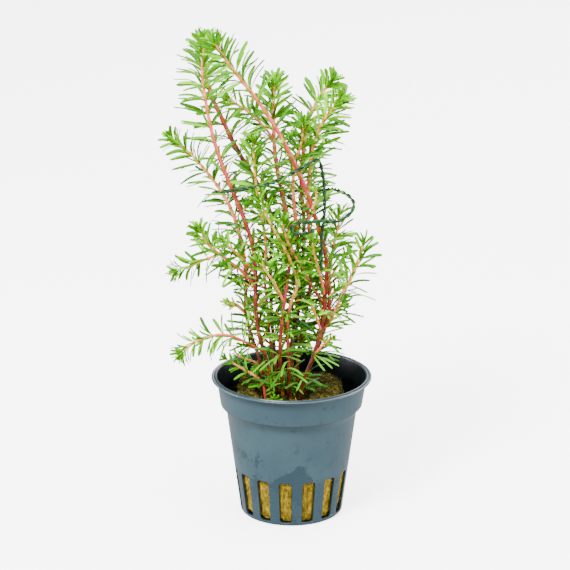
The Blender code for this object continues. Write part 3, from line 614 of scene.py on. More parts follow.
def clear_of_pot(start, end):
    """Whether a leaf stays off the pot's lip and wall and off the rock wool."""
    for t in np.linspace(0, 1, MARGIN_CHECKS):
        x, y, z = start + (end - start) * t
        in_well = math.hypot((x - WELL_CENTRE[0]) / (WELL_TOP_RADII[0] - WELL_MARGIN),
                             (y - WELL_CENTRE[1]) / (WELL_TOP_RADII[1] - WELL_MARGIN)) < 1
        if z < POT_HEIGHT + POT_MARGIN and math.hypot(x, y) > MOUTH_RADIUS:
            return False
        if z < WOOL_TOP + POT_MARGIN and not in_well:
            return False
        if z < WELL_FLOOR + WELL_FLOOR_MARGIN:
            return False
    return True


class Stem:
    """One stem's route, thickness and nodes, counted from its tip."""

    def __init__(self, name, foot_radius, leaf_length, route):
        self.name = name
        self.leaf_length = leaf_length
        self.foot_radius = foot_radius
        self.follow(smooth_route(route, ROUTE_STEP))
        self.whole = self.points

    def follow(self, points):
        """Measure a route and carry a side direction along it without twist."""
        self.points = points
        steps = np.diff(points, axis=0)
        self.along = np.concatenate(([0], np.cumsum(np.linalg.norm(steps, axis=1))))
        self.length = self.along[-1]
        ways = [unit(way) for way in np.vstack((steps, steps[-1:]))]
        side = np.cross(ways[0], FRONT)
        self.sides = []
        for way in ways:
            side = unit(side - way * (side @ way))
            self.sides.append(side)
        self.sides = np.array(self.sides)

    def read(self, table, place):
        """The row of a table at this distance from the foot."""
        return np.array([np.interp(place, self.along, table[:, axis]) for axis in range(3)])

    def at(self, from_tip):
        """Place, direction and side direction at this distance from the tip."""
        place = self.length - from_tip
        direction = unit(self.read(self.points, place + 1) - self.read(self.points, place - 1))
        side = self.read(self.sides, place)
        return self.read(self.points, place), direction, unit(side - direction * (side @ direction))

    def radius(self, from_tip):
        """The stem thickens from its tip to its foot."""
        return TIP_RADIUS + (self.foot_radius - TIP_RADIUS) * min(1, from_tip / THICKENING_LENGTH)

    def nodes(self):
        """Distances from the tip to the nodes, which stand further apart down the stem."""
        places = []
        place = FIRST_NODE
        while place < self.length - BARE_FOOT:
            places.append(place)
            share = min(1, place / SPACING_GROWTH)
            place += NODE_SPACING_TIP + (NODE_SPACING_FOOT - NODE_SPACING_TIP) * share
        return places

    def trim_foot(self, parent):
        """Start a side shoot just clear of the stem that it forks from."""
        starts, ends = parent.points[:-1], parent.points[1:]
        reach = parent.foot_radius + SHOOT_RADIUS + GAP
        for place in np.arange(0, self.length, TRIM_STEP):
            point, direction, side = self.at(self.length - place)
            if segment_distances(point, point + direction * 0.01, starts, ends).min() > reach:
                kept = self.along > place + TRIM_SPACE
                self.follow(np.vstack((point, self.points[kept])))
                return


def turned_axes(direction, side, angle):
    """The side direction turned by an angle round the stem, and the direction across it."""
    other = np.cross(direction, side)
    return (side * math.cos(angle) + other * math.sin(angle),
            other * math.cos(angle) - side * math.sin(angle))


def leaf_shape(stem, from_tip):
    """Length and rise of the leaves at this distance from the tip."""
    grown = min(1, from_tip / GROWN_LENGTH)
    length = stem.leaf_length * (YOUNG_SHARE + (1 - YOUNG_SHARE) * grown ** LENGTH_CURVE)
    rise = math.radians(YOUNG_RISE - RISE_LOST * grown ** RISE_CURVE)
    return length, rise


def whorl_step(from_tip):
    """Every node near the tip keeps its leaves, then every second and, low down, every fourth."""
    if from_tip < FULL_WHORLS:
        return 1
    return 2 if from_tip < SPARSE_WHORLS else 4


def plan_leaves(stem, crowd):
    """Choose, node by node, a turn of the whorl and the leaves that have room there."""
    whorls = []
    turn = random.Random(stem.name).random() * math.pi
    for number, from_tip in enumerate(stem.nodes()):
        chance = random.Random(f"{stem.name} {number}")
        point, direction, side_way = stem.at(from_tip)
        others = crowd.others(stem.name, from_tip)
        if number % whorl_step(from_tip):
            continue
        length, rise = leaf_shape(stem, from_tip)
        wanted = 1.0 if from_tip < FULL_WHORLS else SPARSE_SHARE
        best = []
        for attempt in range(TURN_ATTEMPTS):
            turned = turn + (attempt * TURN_STEP if attempt % 2 else -attempt * TURN_STEP)
            leaves = []
            for side in range(STEM_SIDES):
                if chance.random() > wanted:
                    continue
                outward, across = turned_axes(direction, side_way, turned + side * QUARTER)
                size = length * (SHORTEST_SHARE + LENGTH_SPREAD * chance.random())
                lift = rise + RISE_SPREAD * (2 * chance.random() - 1)
                for shorter, raised in LEAF_TRIES:
                    way = outward * math.cos(lift + raised) + direction * math.sin(lift + raised)
                    root = point + outward * stem.radius(from_tip) * LEAF_ROOT_DEPTH
                    tip = root + way * size * shorter
                    if clear_of_pot(root, tip) and crowd.is_clear(leaf_rods(root, tip, across), others):
                        leaves.append((side, root, tip, across))
                        break
            if len(leaves) > len(best):
                best = leaves
                chosen = turned
            if len(best) >= STEM_SIDES * wanted - 1:
                break
        if best:
            whorls.append((from_tip, chosen, best))
            for side, root, tip, across in best:
                for start, end in leaf_rods(root, tip, across):
                    crowd.add(start, end, LEAF_ROD_RADIUS, stem.name, from_tip)
            turn = chosen + math.pi / STEM_SIDES
    return whorls


# Finer growth between the leaves that the solids carry: blades a whorl, and the share of them that grows
WHORL_BLADES = 10
WHORL_TURN = 2 * math.pi / WHORL_BLADES
WHORL_SHIFT = 0.2
CROWDED_TURN = math.radians(18)
GROWN_SHARE = 0.95
LOW_GROWTH = 55.0
LOW_SHARE = 0.12
SHOOT_SHARE = 0.55
YOUNGEST = 8.0
SMALL_LEAVES = 7.0
SMALL_SHARE = 0.4
CROWN_SHARE = 0.85
SPARSE_CROWNS = ("stem_yellow", "stem_trunk_right", "stem_short_front", "stem_short_back")

# Blades that face the front are fewer, so that the stems show
FRONT_SHARE = 0.45
FRONT_FACING = 0.6
TUFT_FRONT_FACING = 0.5

# How each finer blade varies: turn in radians, length as a share, and rise
FINE_TURN = 0.25
FINE_SHORTEST = 0.70
FINE_LENGTHS = 0.34
FINE_RISES = 1.3
FINE_CLEARANCE = 0.22
FINE_START = 1.0
BOX_MARGIN = 0.8

# The youngest blades at a tip, in tiers: distance from the tip, share of a full leaf's length, and rise
ROSETTE = ((2.0, 0.54, 34), (0.9, 0.45, 50), (0.2, 0.28, 74))
ROSETTE_BLADES = 5
SPARSE_ROSETTE = ((0.9, 0.42, 46), (0.2, 0.26, 72))
SPARSE_ROSETTE_BLADES = 3
STAR_SHOOTS = ("shoot_far_left", "shoot_left_upper", "shoot_drooping")
ROSETTE_TURN = 0.8
ROSETTE_ROOT = 0.5

# What finer growth keeps off, as seen from the front: the wire's front run, and most of each stem
TIE_FRONT_STEP = 1.0
TIE_FRONT_DEPTH = 1.0
TIE_FRONT = smooth_route(TIE_ROUTE, TIE_FRONT_STEP)
TIE_FRONT = TIE_FRONT[TIE_FRONT[:, 1] < -TIE_FRONT_DEPTH]
TIE_SHOWS = 1.1
TIE_CHECKS = (0.35, 0.7, 1.0)
STEM_SHOWS = 0.95
STEM_CHECKS = (0.35, 0.6, 0.85)
STEM_DEPTH = 0.5
STEM_COVER_HEIGHTS = (68.0, 104.0)
STEM_COVERS = (0.6, 0.32)
VIEW_SLOPE = math.tan(CAMERA_PITCH)

# Young growth in the leaf joints: where it starts, how often, its reach and lean
TUFT_FROM = 18.0
TUFT_HEIGHTS = (92.0, 128.0)
TUFT_SHARE = 0.72
TUFT_RISES = (50.0, 66.0)
TUFT_LEAST = 0.2
TUFT_REACH = (1.6, 4.6)
TUFT_LIFTS = (0.4, 0.9)
TUFT_TRIES = 6
TUFT_RADIUS = 0.26
TUFT_ROOT = 0.6
TUFT_AGES = (3.0, 26.0)

# The whorls of such growth: place along it, length of the blades and their rise, and how both vary
TUFT_WHORLS = ((1.0, 3.4, 62), (0.86, 4.6, 34), (0.5, 4.8, 12))
TUFT_BLADES = 4
TUFT_LENGTHS = (0.75, 1.1)
TUFT_RISE_SPREAD = 12

# Long leaves that arch out low at the front, each by its stem, its root and its tip
LOW_LEAF_AGE = 40.0
LOW_LEAVES = {
    "stem_middle": [
        ((-3.2, -7, 51.7), (-10.4, -12, 48.3)), ((-3.0, -7.2, 51.9), (3.9, -11, 51.4)),
        ((-3.8, -8.4, 57.2), (-10.6, -14, 54.2)), ((-3.5, -8.5, 57.3), (3.2, -13, 57.2)),
        ((-3.4, -7.4, 51.9), (-6.4, -15, 49.4)), ((-3.0, -6.4, 47.0), (-8.4, -9.6, 45.4))],
    "stem_yellow": [
        ((-0.5, -6.6, 46.2), (4.0, -12.2, 45.4)), ((-0.6, -6.4, 50.8), (5.2, -11.4, 49.0)),
        ((-0.9, -6.6, 55.0), (-3.4, -14.4, 52.4))],
    "stem_leaning": [
        ((4.2, -4.6, 48.0), (1.6, -11.6, 46.2)), ((7.3, -4.6, 56.3), (11.0, -11, 53.1)),
        ((7.4, -4.4, 56.5), (13.6, -9, 53.2)), ((4.4, -4.4, 48.4), (10.8, -8.6, 46.6)),
        ((9.0, -4.4, 61.8), (16.2, -6.4, 57.6))],
    "stem_trunk_right": [((7.9, -0.6, 54.8), (15.8, -6, 53.0)), ((8.0, 0.2, 55.0), (16.4, 1.4, 53.4))],
    "stem_left": [((-8.2, -4.6, 54.8), (-13.8, -10.4, 51.4)), ((-6.8, -4.6, 47.6), (-11.2, -9.4, 46.4))],
}

# A seedling in the wool, in tiers: length of its leaves, their rise and their count
SEEDLING_BY = "stem_short_front"
SEEDLING_PLACE = (-5.6, -10.2, 42.2)
SEEDLING = ((2.9, 12, 6), (2.2, 42, 5), (1.2, 72, 3))
SEEDLING_TURN = 0.5
SEEDLING_STEP = 0.5


def raised_way(outward, upward, rise):
    """The direction that leans from outward to upward by this angle."""
    return outward * math.cos(rise) + upward * math.sin(rise)


def seen_apart(root, tip, shares, line):
    """How far places along a blade lie from a line as seen from the front, and how far behind it."""
    places = root + (tip - root) * np.array(shares)[:, None]
    apart = places[:, None] - line[None]
    return np.hypot(apart[..., 0], apart[..., 2] + apart[..., 1] * VIEW_SLOPE), apart[..., 1]


def inside_box(point):
    """Whether a place lies in the solids' own box."""
    low, high = CAD_BOX
    return all(low[axis] / MM - BOX_MARGIN < point[axis] < high[axis] / MM + BOX_MARGIN for axis in range(3))


def over_tie(root, tip):
    """Whether a blade would lie over the front run of the wire, which holds the growth back."""
    aside, behind = seen_apart(root, tip, TIE_CHECKS, TIE_FRONT)
    return np.any((aside < TIE_SHOWS) & (behind < 0))


def keeps_stems_in_view(stem_points, root, tip, chance):
    """Whether a blade stays off the stems, as seen from the front, or is one of those that may cover them."""
    aside, behind = seen_apart(root, tip, STEM_CHECKS, stem_points)
    covers = np.any((aside < STEM_SHOWS) & (behind < -STEM_DEPTH))
    return not covers or chance.random() < np.interp(root[2], STEM_COVER_HEIGHTS, STEM_COVERS)


def try_blade(crowd, others, root, outward, direction, size, lift):
    """The tip of a blade that has room, or nothing."""
    for shorter, raised in LEAF_TRIES:
        way = raised_way(outward, direction, lift + raised)
        start, tip = root + way * FINE_START, root + way * size * shorter
        if over_tie(root, tip) or not clear_of_pot(root, tip):
            continue
        if inside_box(tip) and crowd.has_room(start, tip, others):
            return tip
    return None


def place_blades(blades, crowd, stem, from_tip):
    """Put finer blades of one node in place."""
    for age, root, tip, across, way in blades:
        crowd.add(root + unit(tip - root) * FINE_START, tip, LEAF_ROD_RADIUS, stem.name, from_tip)


def full_crown(stem):
    """Whether a stem ends in a full crown, as most of the long ones do."""
    return stem.name in LONG_STEMS and stem.name not in SPARSE_CROWNS


def grown_share(stem, from_tip, height):
    """The share of a whorl's blades that grow at this place of a stem."""
    if from_tip < YOUNGEST or stem.leaf_length < SMALL_LEAVES:
        return CROWN_SHARE if full_crown(stem) else SMALL_SHARE
    if height < LOW_GROWTH:
        return LOW_SHARE
    return SHOOT_SHARE if stem.name in SHOOTS else GROWN_SHARE


def fill_whorls(stem, crowd, whorls, stem_points):
    """Add the blades that stand between the planned ones, and those of the nodes that have none yet."""
    planned = {from_tip: (chosen, leaves) for from_tip, chosen, leaves in whorls}
    extra = []
    turn = random.Random(f"{stem.name} extra").random() * math.pi
    for number, from_tip in enumerate(stem.nodes()):
        chance = random.Random(f"{stem.name} extra {number}")
        point, direction, side_way = stem.at(from_tip)
        others = crowd.others(stem.name, from_tip)
        length, rise = leaf_shape(stem, from_tip)
        chosen, leaves = planned.get(from_tip, (0, ()))
        taken = [chosen + leaf[0] * QUARTER for leaf in leaves]
        share = grown_share(stem, from_tip, point[2])
        placed = []
        for blade in range(WHORL_BLADES):
            angle = turn + blade * WHORL_TURN + FINE_TURN * (chance.random() - 0.5)
            size = length * (FINE_SHORTEST + FINE_LENGTHS * chance.random())
            lift = rise + RISE_SPREAD * (2 * FINE_RISES * chance.random() - FINE_RISES)
            outward, across = turned_axes(direction, side_way, angle)
            grows = chance.random() < share * (FRONT_SHARE if outward @ FRONT > FRONT_FACING else 1)
            near = [abs(math.remainder(angle - other, 2 * math.pi)) for other in taken]
            if not grows or (near and min(near) < CROWDED_TURN):
                continue
            root = point + outward * stem.radius(from_tip) * LEAF_ROOT_DEPTH
            tip = try_blade(crowd, others, root, outward, direction, size, lift)
            if tip is not None and keeps_stems_in_view(stem_points, root, tip, chance):
                placed.append((from_tip, root, tip, across, direction))
        place_blades(placed, crowd, stem, from_tip)
        extra += placed
        turn += WHORL_TURN / 2 + WHORL_SHIFT
    return extra


def low_leaves(name):
    """The long low leaves of one stem."""
    ends = [(np.array(root), np.array(tip)) for root, tip in LOW_LEAVES.get(name, ())]
    return [(LOW_LEAF_AGE, root, tip, unit(np.cross(UP, tip - root)), UP) for root, tip in ends]


def seedling():
    """A tiny rosette that has rooted in the wool at the front."""
    blades = []
    for tier, (length, rise, count) in enumerate(SEEDLING):
        start = np.array(SEEDLING_PLACE) + UP * SEEDLING_STEP * tier
        for blade in range(count):
            outward, across = turned_axes(UP, RIGHT, tier * SEEDLING_TURN + blade * math.tau / count)
            way = raised_way(outward, UP, math.radians(rise))
            blades.append((0.0, start, start + way * length, across, UP))
    return blades


def rosette(stem):
    """The youngest blades, standing close round the stem's tip."""
    blades = []
    turn = random.Random(f"{stem.name} rosette").random() * math.pi
    full = full_crown(stem) or stem.name in STAR_SHOOTS
    count = ROSETTE_BLADES if full else SPARSE_ROSETTE_BLADES
    for tier, (from_tip, share, rise) in enumerate(ROSETTE if full else SPARSE_ROSETTE):
        point, direction, side_way = stem.at(from_tip)
        for blade in range(count):
            angle = turn + tier * ROSETTE_TURN + blade * math.tau / count
            outward, across = turned_axes(direction, side_way, angle)
            way = raised_way(outward, direction, math.radians(rise))
            root = point + outward * TIP_RADIUS * ROSETTE_ROOT
            blades.append((from_tip, root, root + way * stem.leaf_length * share, across, direction))
    return blades


def grow_tufts(stem, crowd, stem_points):
    """Short side twigs with small whorls, in some of the leaf joints."""
    blades, twigs = [], []
    low, high = TUFT_HEIGHTS
    for number, from_tip in enumerate(stem.nodes()):
        chance = random.Random(f"{stem.name} tuft {number}")
        point, direction, side_way = stem.at(from_tip)
        share = TUFT_SHARE * min(1, max(0, (high - point[2]) / (high - low)))
        share *= np.interp(point[2], TUFT_RISES, (TUFT_LEAST, 1))
        if from_tip < TUFT_FROM or chance.random() > share:
            continue
        others = crowd.others(stem.name, from_tip)
        reach = chance.uniform(*TUFT_REACH)
        for attempt in range(TUFT_TRIES):
            outward, across = turned_axes(direction, side_way, chance.uniform(0, 2 * math.pi))
            if outward @ FRONT > TUFT_FRONT_FACING and chance.random() > FRONT_SHARE:
                continue
            way = raised_way(outward, direction, chance.uniform(*TUFT_LIFTS))
            start = point + outward * stem.radius(from_tip) * LEAF_ROOT_DEPTH
            end = start + way * reach
            fits = clear_of_pot(start, end) and inside_box(end)
            if fits and crowd.has_room(start + way, end + way, others):
                break
        else:
            continue
        twigs.append((start, end))
        age = chance.uniform(*TUFT_AGES)
        placed = []
        for place, size, rise in TUFT_WHORLS:
            turn = chance.uniform(0, math.pi)
            for blade in range(TUFT_BLADES):
                out, cross = turned_axes(way, across, turn + blade * math.tau / TUFT_BLADES)
                root = start + way * reach * place + out * TUFT_RADIUS * TUFT_ROOT
                lift = math.radians(rise + chance.uniform(-TUFT_RISE_SPREAD, TUFT_RISE_SPREAD))
                tip = try_blade(crowd, others, root, out, way, size * chance.uniform(*TUFT_LENGTHS), lift)
                if tip is not None and keeps_stems_in_view(stem_points, root, tip, chance):
                    placed.append((age, root, tip, cross, way))
        place_blades(placed, crowd, stem, from_tip)
        blades += placed
    return blades, twigs


# A blade's stations from root to tip: place along it and share of the half width there
BLADE_STATIONS = np.array((0.0, 0.12, 0.3, 0.5, 0.7, 0.87, 0.96, 1.0))
BLADE_WIDTHS = np.array((0.4, 0.58, 0.88, 1.0, 1.0, 0.93, 0.7, 0.36))

# The section across a blade: shares of the half width and of the thickness
BLADE_SECTION = np.array(((-1, 0.1), (-0.5, 0.62), (0, 0.3), (0.5, 0.62), (1, 0.1), (0, -0.5)))
BLADE_THICKNESS = 0.34

# A blade's width: full, how it varies, and its shares by stem, by length and by age
BLADE_WIDTH = 1.06
BLADE_WIDTH_SPREAD = (0.84, 1.08)
BROAD_BLADES = {"stem_back": 1.25, "stem_right": 1.12, "stem_middle": 1.12}
NARROWEST = 0.5
NARROW_SHARE = 0.42
NARROW_LENGTH = 14.0
WIDTH_AGES = (0.12, 0.5, 1)
AGE_WIDTHS = (1.08, 0.92, 1.06)
AGE_SPAN = 62.0

# How blades arch, sway, twist and roll
ARCH_LEAST = 0.02
ARCH_SPREAD = 0.21
ARCH_CURVE = 1.6
ARCH_ALWAYS = 0.01
YOUNG_ARCH = 0.5
BOW_CURVE = 1.3
BOW_HEIGHT = 1.12
BLADE_SWAY = 0.05
BLADE_TWIST = 0.45
BLADE_ROLL = 0.3
ROLL_RATE = 3

# The way that the blades' upper faces turn to the light, and how far, by age and by how boldly one shows
LIGHT_WAY = np.array((0.0, -0.82, 0.57))
LIGHT_AGES = (0.1, 0.6, 1)
LIGHT_SHARES = (0.9, 0.32, 0.6)
MOST_TURN = 1.3
BOLD_SHARE = 0.5
BOLD = (1.15, 1.06)
MEEK = (0.25, 0.84)

# Stem tubes: shares of the solid's radius by distance from the tip, and the swelling at the nodes
TUBE_STEP = 0.7
TUBE_SIDES = 9
LONG_ROUTE = 9
ROUTE_SKIP = 3
TUBE_PLACES = (0, 9, 36, 62)
TUBE_ENDS = (0.95, 0.9)
TUBE_WIDTH = 1.12
TUBE_WIDTHS = {"stem_tall_left": 1.5, "stem_middle": 1.4, "stem_back": 1.2, "stem_slender": 1.05}
TUBE_UNEVEN = 0.03
TIP_POINT = 0.5
NODE_SWELL = 0.26
NODE_REACH = 0.62
NO_NODE = 9.0
JOINT_HEIGHTS = (60.0, 100.0)
JOINT_SHARES = (0.45, 1.0)

# Stems darken below a height, short ones less
FOOT_DARK = 84.0
SHORT_STEM = 45.0
SHORT_DARK = 0.35
DEEP_MARGIN = 20.0
TWIG_SIDES = 6
TWIG_BLUSH = 0.16
TWIG_TAPER = (1.1, 1, 0.85, 0.6)


def tube_faces(count, stations, sides):
    """The faces of closed tubes, whose corners are listed tube by tube and station by station."""
    faces = []
    for tube in range(count):
        first = tube * stations * sides
        last = first + (stations - 1) * sides
        for start in range(first, last, sides):
            for corner in range(sides):
                a, b = start + corner, start + (corner + 1) % sides
                faces.append((a, b, b + sides, a + sides))
        faces.append(tuple(range(first + sides - 1, first - 1, -1)))
        faces.append(tuple(range(last, last + sides)))
    return faces


def ring_ways(side, other, sides):
    """Directions to the corners of a round section at every station."""
    angles = np.arange(sides) * 2 * math.pi / sides
    return side[:, None] * np.cos(angles)[None, :, None] + other[:, None] * np.sin(angles)[None, :, None]


def blade_mesh(blades, name):
    """Every blade of one stem as a closed, arched and slightly twisted strip."""
    chance = random.Random(f"{name} blades")
    from_tips, roots, tips, across, ways = (np.array(column) for column in zip(*blades))
    lengths = np.linalg.norm(tips - roots, axis=1)
    ages = np.clip(from_tips / AGE_SPAN, 0, 1)
    arch = np.array([ARCH_LEAST + ARCH_SPREAD * chance.random() ** ARCH_CURVE for _ in blades])
    arch = arch * (YOUNG_ARCH + (1 - YOUNG_ARCH) * ages) + ARCH_ALWAYS
    sway = np.array([chance.uniform(-BLADE_SWAY, BLADE_SWAY) for _ in blades])
    twist = np.array([chance.uniform(-BLADE_TWIST, BLADE_TWIST) for _ in blades])
    roll = np.array([chance.gauss(0, BLADE_ROLL) for _ in blades])
    show = np.array([BOLD if chance.random() < BOLD_SHARE else MEEK for _ in blades])
    tint = np.array([chance.random() for _ in blades])
    width = BLADE_WIDTH / 2 * np.array([chance.uniform(*BLADE_WIDTH_SPREAD) for _ in blades])
    width = width * BROAD_BLADES.get(name, 1) * np.clip(NARROW_SHARE + lengths / NARROW_LENGTH, NARROWEST, 1)
    width = width * np.interp(ages, WIDTH_AGES, AGE_WIDTHS) * show[:, 1]

    # Middle line, bowed upwards and swayed sideways
    t = BLADE_STATIONS[None, :, None]
    chord = tips - roots
    lift = units(ways - units(chord) * np.einsum("ij,ij->i", ways, units(chord))[:, None])
    middle = roots[:, None] + chord[:, None] * t
    bow = 4 * t * (1 - t) ** BOW_CURVE * BOW_HEIGHT
    middle = middle + (lift * (arch * lengths)[:, None])[:, None] * bow
    middle = middle + (across * (sway * lengths)[:, None])[:, None] * (4 * t * (1 - t))

    # Side and upper directions, rolled towards the light and twisted along the blade
    tangent = units(np.gradient(middle, BLADE_STATIONS, axis=1))
    side = units(across[:, None] - tangent * np.einsum("ij,isj->is", across, tangent)[:, :, None])
    upper = np.cross(side, tangent)
    upper = upper * np.sign(np.einsum("isj,ij->is", upper, lift))[:, :, None]
    half_way = len(BLADE_STATIONS) // 2
    facing = -np.arctan2(side[:, half_way] @ LIGHT_WAY, upper[:, half_way] @ LIGHT_WAY)
    share = np.minimum(1, np.interp(ages, LIGHT_AGES, LIGHT_SHARES) * show[:, 0])
    roll = roll + np.clip(facing, -MOST_TURN, MOST_TURN) * share
    turned = roll[:, None] * np.minimum(1, BLADE_STATIONS * ROLL_RATE) + twist[:, None] * BLADE_STATIONS
    cosine, sine = np.cos(turned)[:, :, None], np.sin(turned)[:, :, None]
    side, upper = side * cosine + upper * sine, upper * cosine - side * sine

    half = width[:, None, None] * BLADE_WIDTHS[None, :, None]
    thick = BLADE_THICKNESS * np.sqrt(BLADE_WIDTHS)[None, :, None] * (width / BLADE_WIDTH * 2)[:, None, None]
    corners = BLADE_SECTION[None, None]
    points = (middle[:, :, None] + side[:, :, None] * (half * corners[..., 0])[..., None]
              + upper[:, :, None] * (thick * corners[..., 1])[..., None])
    shape = points.shape[:3]
    numbers = {"age": ages[:, None, None], "tint": tint[:, None, None], "blade": t,
               "edge": np.abs(BLADE_SECTION[:, 0])[None, None]}
    numbers = {key: np.broadcast_to(values, shape).ravel() for key, values in numbers.items()}
    return points.reshape(-1, 3), tube_faces(*shape), numbers


def frames_along(points):
    """Two directions across a route that don't twist along it."""
    ways = units(np.gradient(points, axis=0))
    side = np.cross(ways[0], FRONT)
    sides = []
    for way in ways:
        side = unit(side - way * (side @ way))
        sides.append(side)
    sides = np.array(sides)
    return sides, np.cross(ways, sides)


def tube_mesh(points, radii, sides):
    """A closed round tube along a route."""
    ring = ring_ways(*frames_along(points), sides)
    verts = (points[:, None] + ring * np.asarray(radii)[:, None, None]).reshape(-1, 3)
    return verts, tube_faces(1, len(points), sides)


def stem_mesh(stem, blush, twigs):
    """The stem's round tube, a little swollen at each node, its twigs, and how red each place is."""
    chance = random.Random(f"{stem.name} tube")
    skip = ROUTE_SKIP if len(stem.whole) > LONG_ROUTE else 1
    points = smooth_route(stem.whole[::skip], TUBE_STEP)
    steps = np.linalg.norm(np.diff(points, axis=0), axis=1)
    from_tip = np.concatenate((np.cumsum(steps[::-1])[::-1], [0]))
    nodes = np.array(stem.nodes() or [from_tip[0] + NO_NODE])
    apart = np.abs(from_tip[:, None] - nodes[None]).min(axis=1)
    joint = np.exp(-(apart / NODE_REACH) ** 2) * np.interp(points[:, 2], JOINT_HEIGHTS, JOINT_SHARES)
    wide = TUBE_WIDTHS.get(stem.name, TUBE_WIDTH)
    radii = np.array([stem.radius(place) for place in from_tip])
    radii = radii * np.interp(from_tip, TUBE_PLACES, (TUBE_ENDS[0], wide, wide, TUBE_ENDS[1]))
    uneven = np.array([1 + chance.uniform(-TUBE_UNEVEN, TUBE_UNEVEN) for _ in points])
    radii = radii * (1 + NODE_SWELL * joint) * uneven
    radii[-1] *= TIP_POINT
    verts, faces = tube_mesh(points, radii, TUBE_SIDES)

    length = max(from_tip[0], DEEP_BLUSH + DEEP_MARGIN)
    tip_red, mid_red, foot_red = blush
    deep_red = mid_red + (foot_red - mid_red) * DEEP_SHARE
    places = (0, MID_BLUSH, DEEP_BLUSH, length)
    red = np.repeat(np.interp(from_tip, places, (tip_red, mid_red, deep_red, foot_red)), TUBE_SIDES)
    low = np.clip((FOOT_DARK - verts[:, 2]) / (FOOT_DARK - WOOL_TOP), 0, 1)
    if from_tip[0] < SHORT_STEM:
        low = low * SHORT_DARK
    reds, joints = [red + (1 - red) * low], [np.repeat(joint, TUBE_SIDES)]
    for start, end in twigs:
        path = np.linspace(start, end, len(TWIG_TAPER))
        more, more_faces = tube_mesh(path, np.array(TWIG_TAPER) * TUFT_RADIUS, TWIG_SIDES)
        faces += [tuple(corner + len(verts) for corner in face) for face in more_faces]
        verts = np.vstack((verts, more))
        reds.append(np.full(len(more), TWIG_BLUSH))
        joints.append(np.zeros(len(more)))
    return verts, faces, {"blush": np.concatenate(reds), "joint": np.concatenate(joints)}


def add_piece(name, verts, faces, material, replaced, numbers=None):
    """Make a mesh in millimetres into a piece that rides on the root body."""
    mesh = bpy.data.meshes.new(name)
    mesh.from_pydata((np.asarray(verts) * MM).tolist(), [], faces)
    for key, values in (numbers or {}).items():
        layer = mesh.attributes.new(key, "FLOAT", "POINT")
        layer.data.foreach_set("value", np.ascontiguousarray(values, dtype=np.float32))
    mesh.polygons.foreach_set("use_smooth", [True] * len(mesh.polygons))
    mesh.materials.append(material)
    piece = bpy.data.objects.new(name, mesh)
    bpy.context.scene.collection.objects.link(piece)
    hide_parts(replaced)
    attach(piece, "root")
    return piece


def make_plants():
    """Every stem with its blades."""
    stems = {name: Stem(name, radius, length, route) for name, (radius, length, route) in LONG_STEMS.items()}
    for name, (parent, length, route) in SHOOTS.items():
        stems[name] = Stem(name, SHOOT_RADIUS, length, route)
        stems[name].trim_foot(stems[parent])
    crowd = Crowd()
    tie_points = smooth_route(TIE_ROUTE, TIE_STEP)
    crowd.add_tube(tie_points, np.full(len(tie_points), TIE_DIAMETER / 2), "wire_tie")
    for stem in stems.values():
        radii = [stem.radius(stem.length - place) for place in stem.along]
        crowd.add_tube(stem.points, radii, stem.name)
    planned = {stem.name: plan_leaves(stem, crowd) for stem in stems.values()}
    stem_points = np.vstack([stem.points for stem in stems.values()])
    leaf, bark = leaf_look(), stem_look()
    for stem in stems.values():
        blades = []
        for from_tip, chosen, leaves in planned[stem.name]:
            direction = stem.at(from_tip)[1]
            blades += [(from_tip, root, tip, across, direction) for side, root, tip, across in leaves]
        blades += fill_whorls(stem, crowd, planned[stem.name], stem_points)
        blades += rosette(stem)
        young, twigs = grow_tufts(stem, crowd, stem_points)
        blades += young + low_leaves(stem.name)
        if stem.name == SEEDLING_BY:
            blades += seedling()
        verts, faces, numbers = blade_mesh(blades, stem.name)
        add_piece(f"{stem.name}_leaves", verts, faces, leaf, stem.name, numbers)
        verts, faces, numbers = stem_mesh(stem, BLUSH.get(stem.name, SHOOT_BLUSH), twigs)
        add_piece(f"{stem.name}_stem", verts, faces, bark, stem.name, numbers)


# Pot: its straight walls by radius and height at their ends, and the columns across a slot and a rib
OUTER_WALL = ((17.4, 0.9), (21.8, COLLAR_FOOT))
INNER_WALL = ((16.6, 1.15), (21.0, COLLAR_FOOT))
WALL_HEIGHTS = (19, 24, 29)
OUTER_WALL_TOP = 33.2
INNER_WALL_TOP = 33.4
SLOT_COLUMNS = (-1, -0.95, -0.8, -0.56, -0.2, 0.2, 0.56, 0.8, 0.95, 1)
RIB_COLUMNS = 3
SLOT_ROWS = 6
SLOT_PERIOD = 2 * math.pi / SLOT_COUNT
AXIS_RADIUS = 0.01
SAME_PLACE = 2e-5
ALL_INSIDE = 0.99
EDGE_WIDTH = 0.14
EDGE_SEGMENTS = 2
EDGE_ANGLE = math.radians(40)


def arc(centre, radius, start, end, count):
    """Points along an arc, its angles in degrees from the outward direction."""
    angles = [math.radians(angle) for angle in np.linspace(start, end, count)]
    return [(centre[0] + radius * math.cos(angle), centre[1] + radius * math.sin(angle)) for angle in angles]


def wall_radius(wall, height):
    """The radius of a straight wall at this height."""
    (foot_radius, foot), (top_radius, top) = wall
    return foot_radius + (top_radius - foot_radius) * (height - foot) / (top - foot)


def wall_rows(wall, heights):
    """Rows up or down a straight wall."""
    return [(wall_radius(wall, height), height) for height in heights]


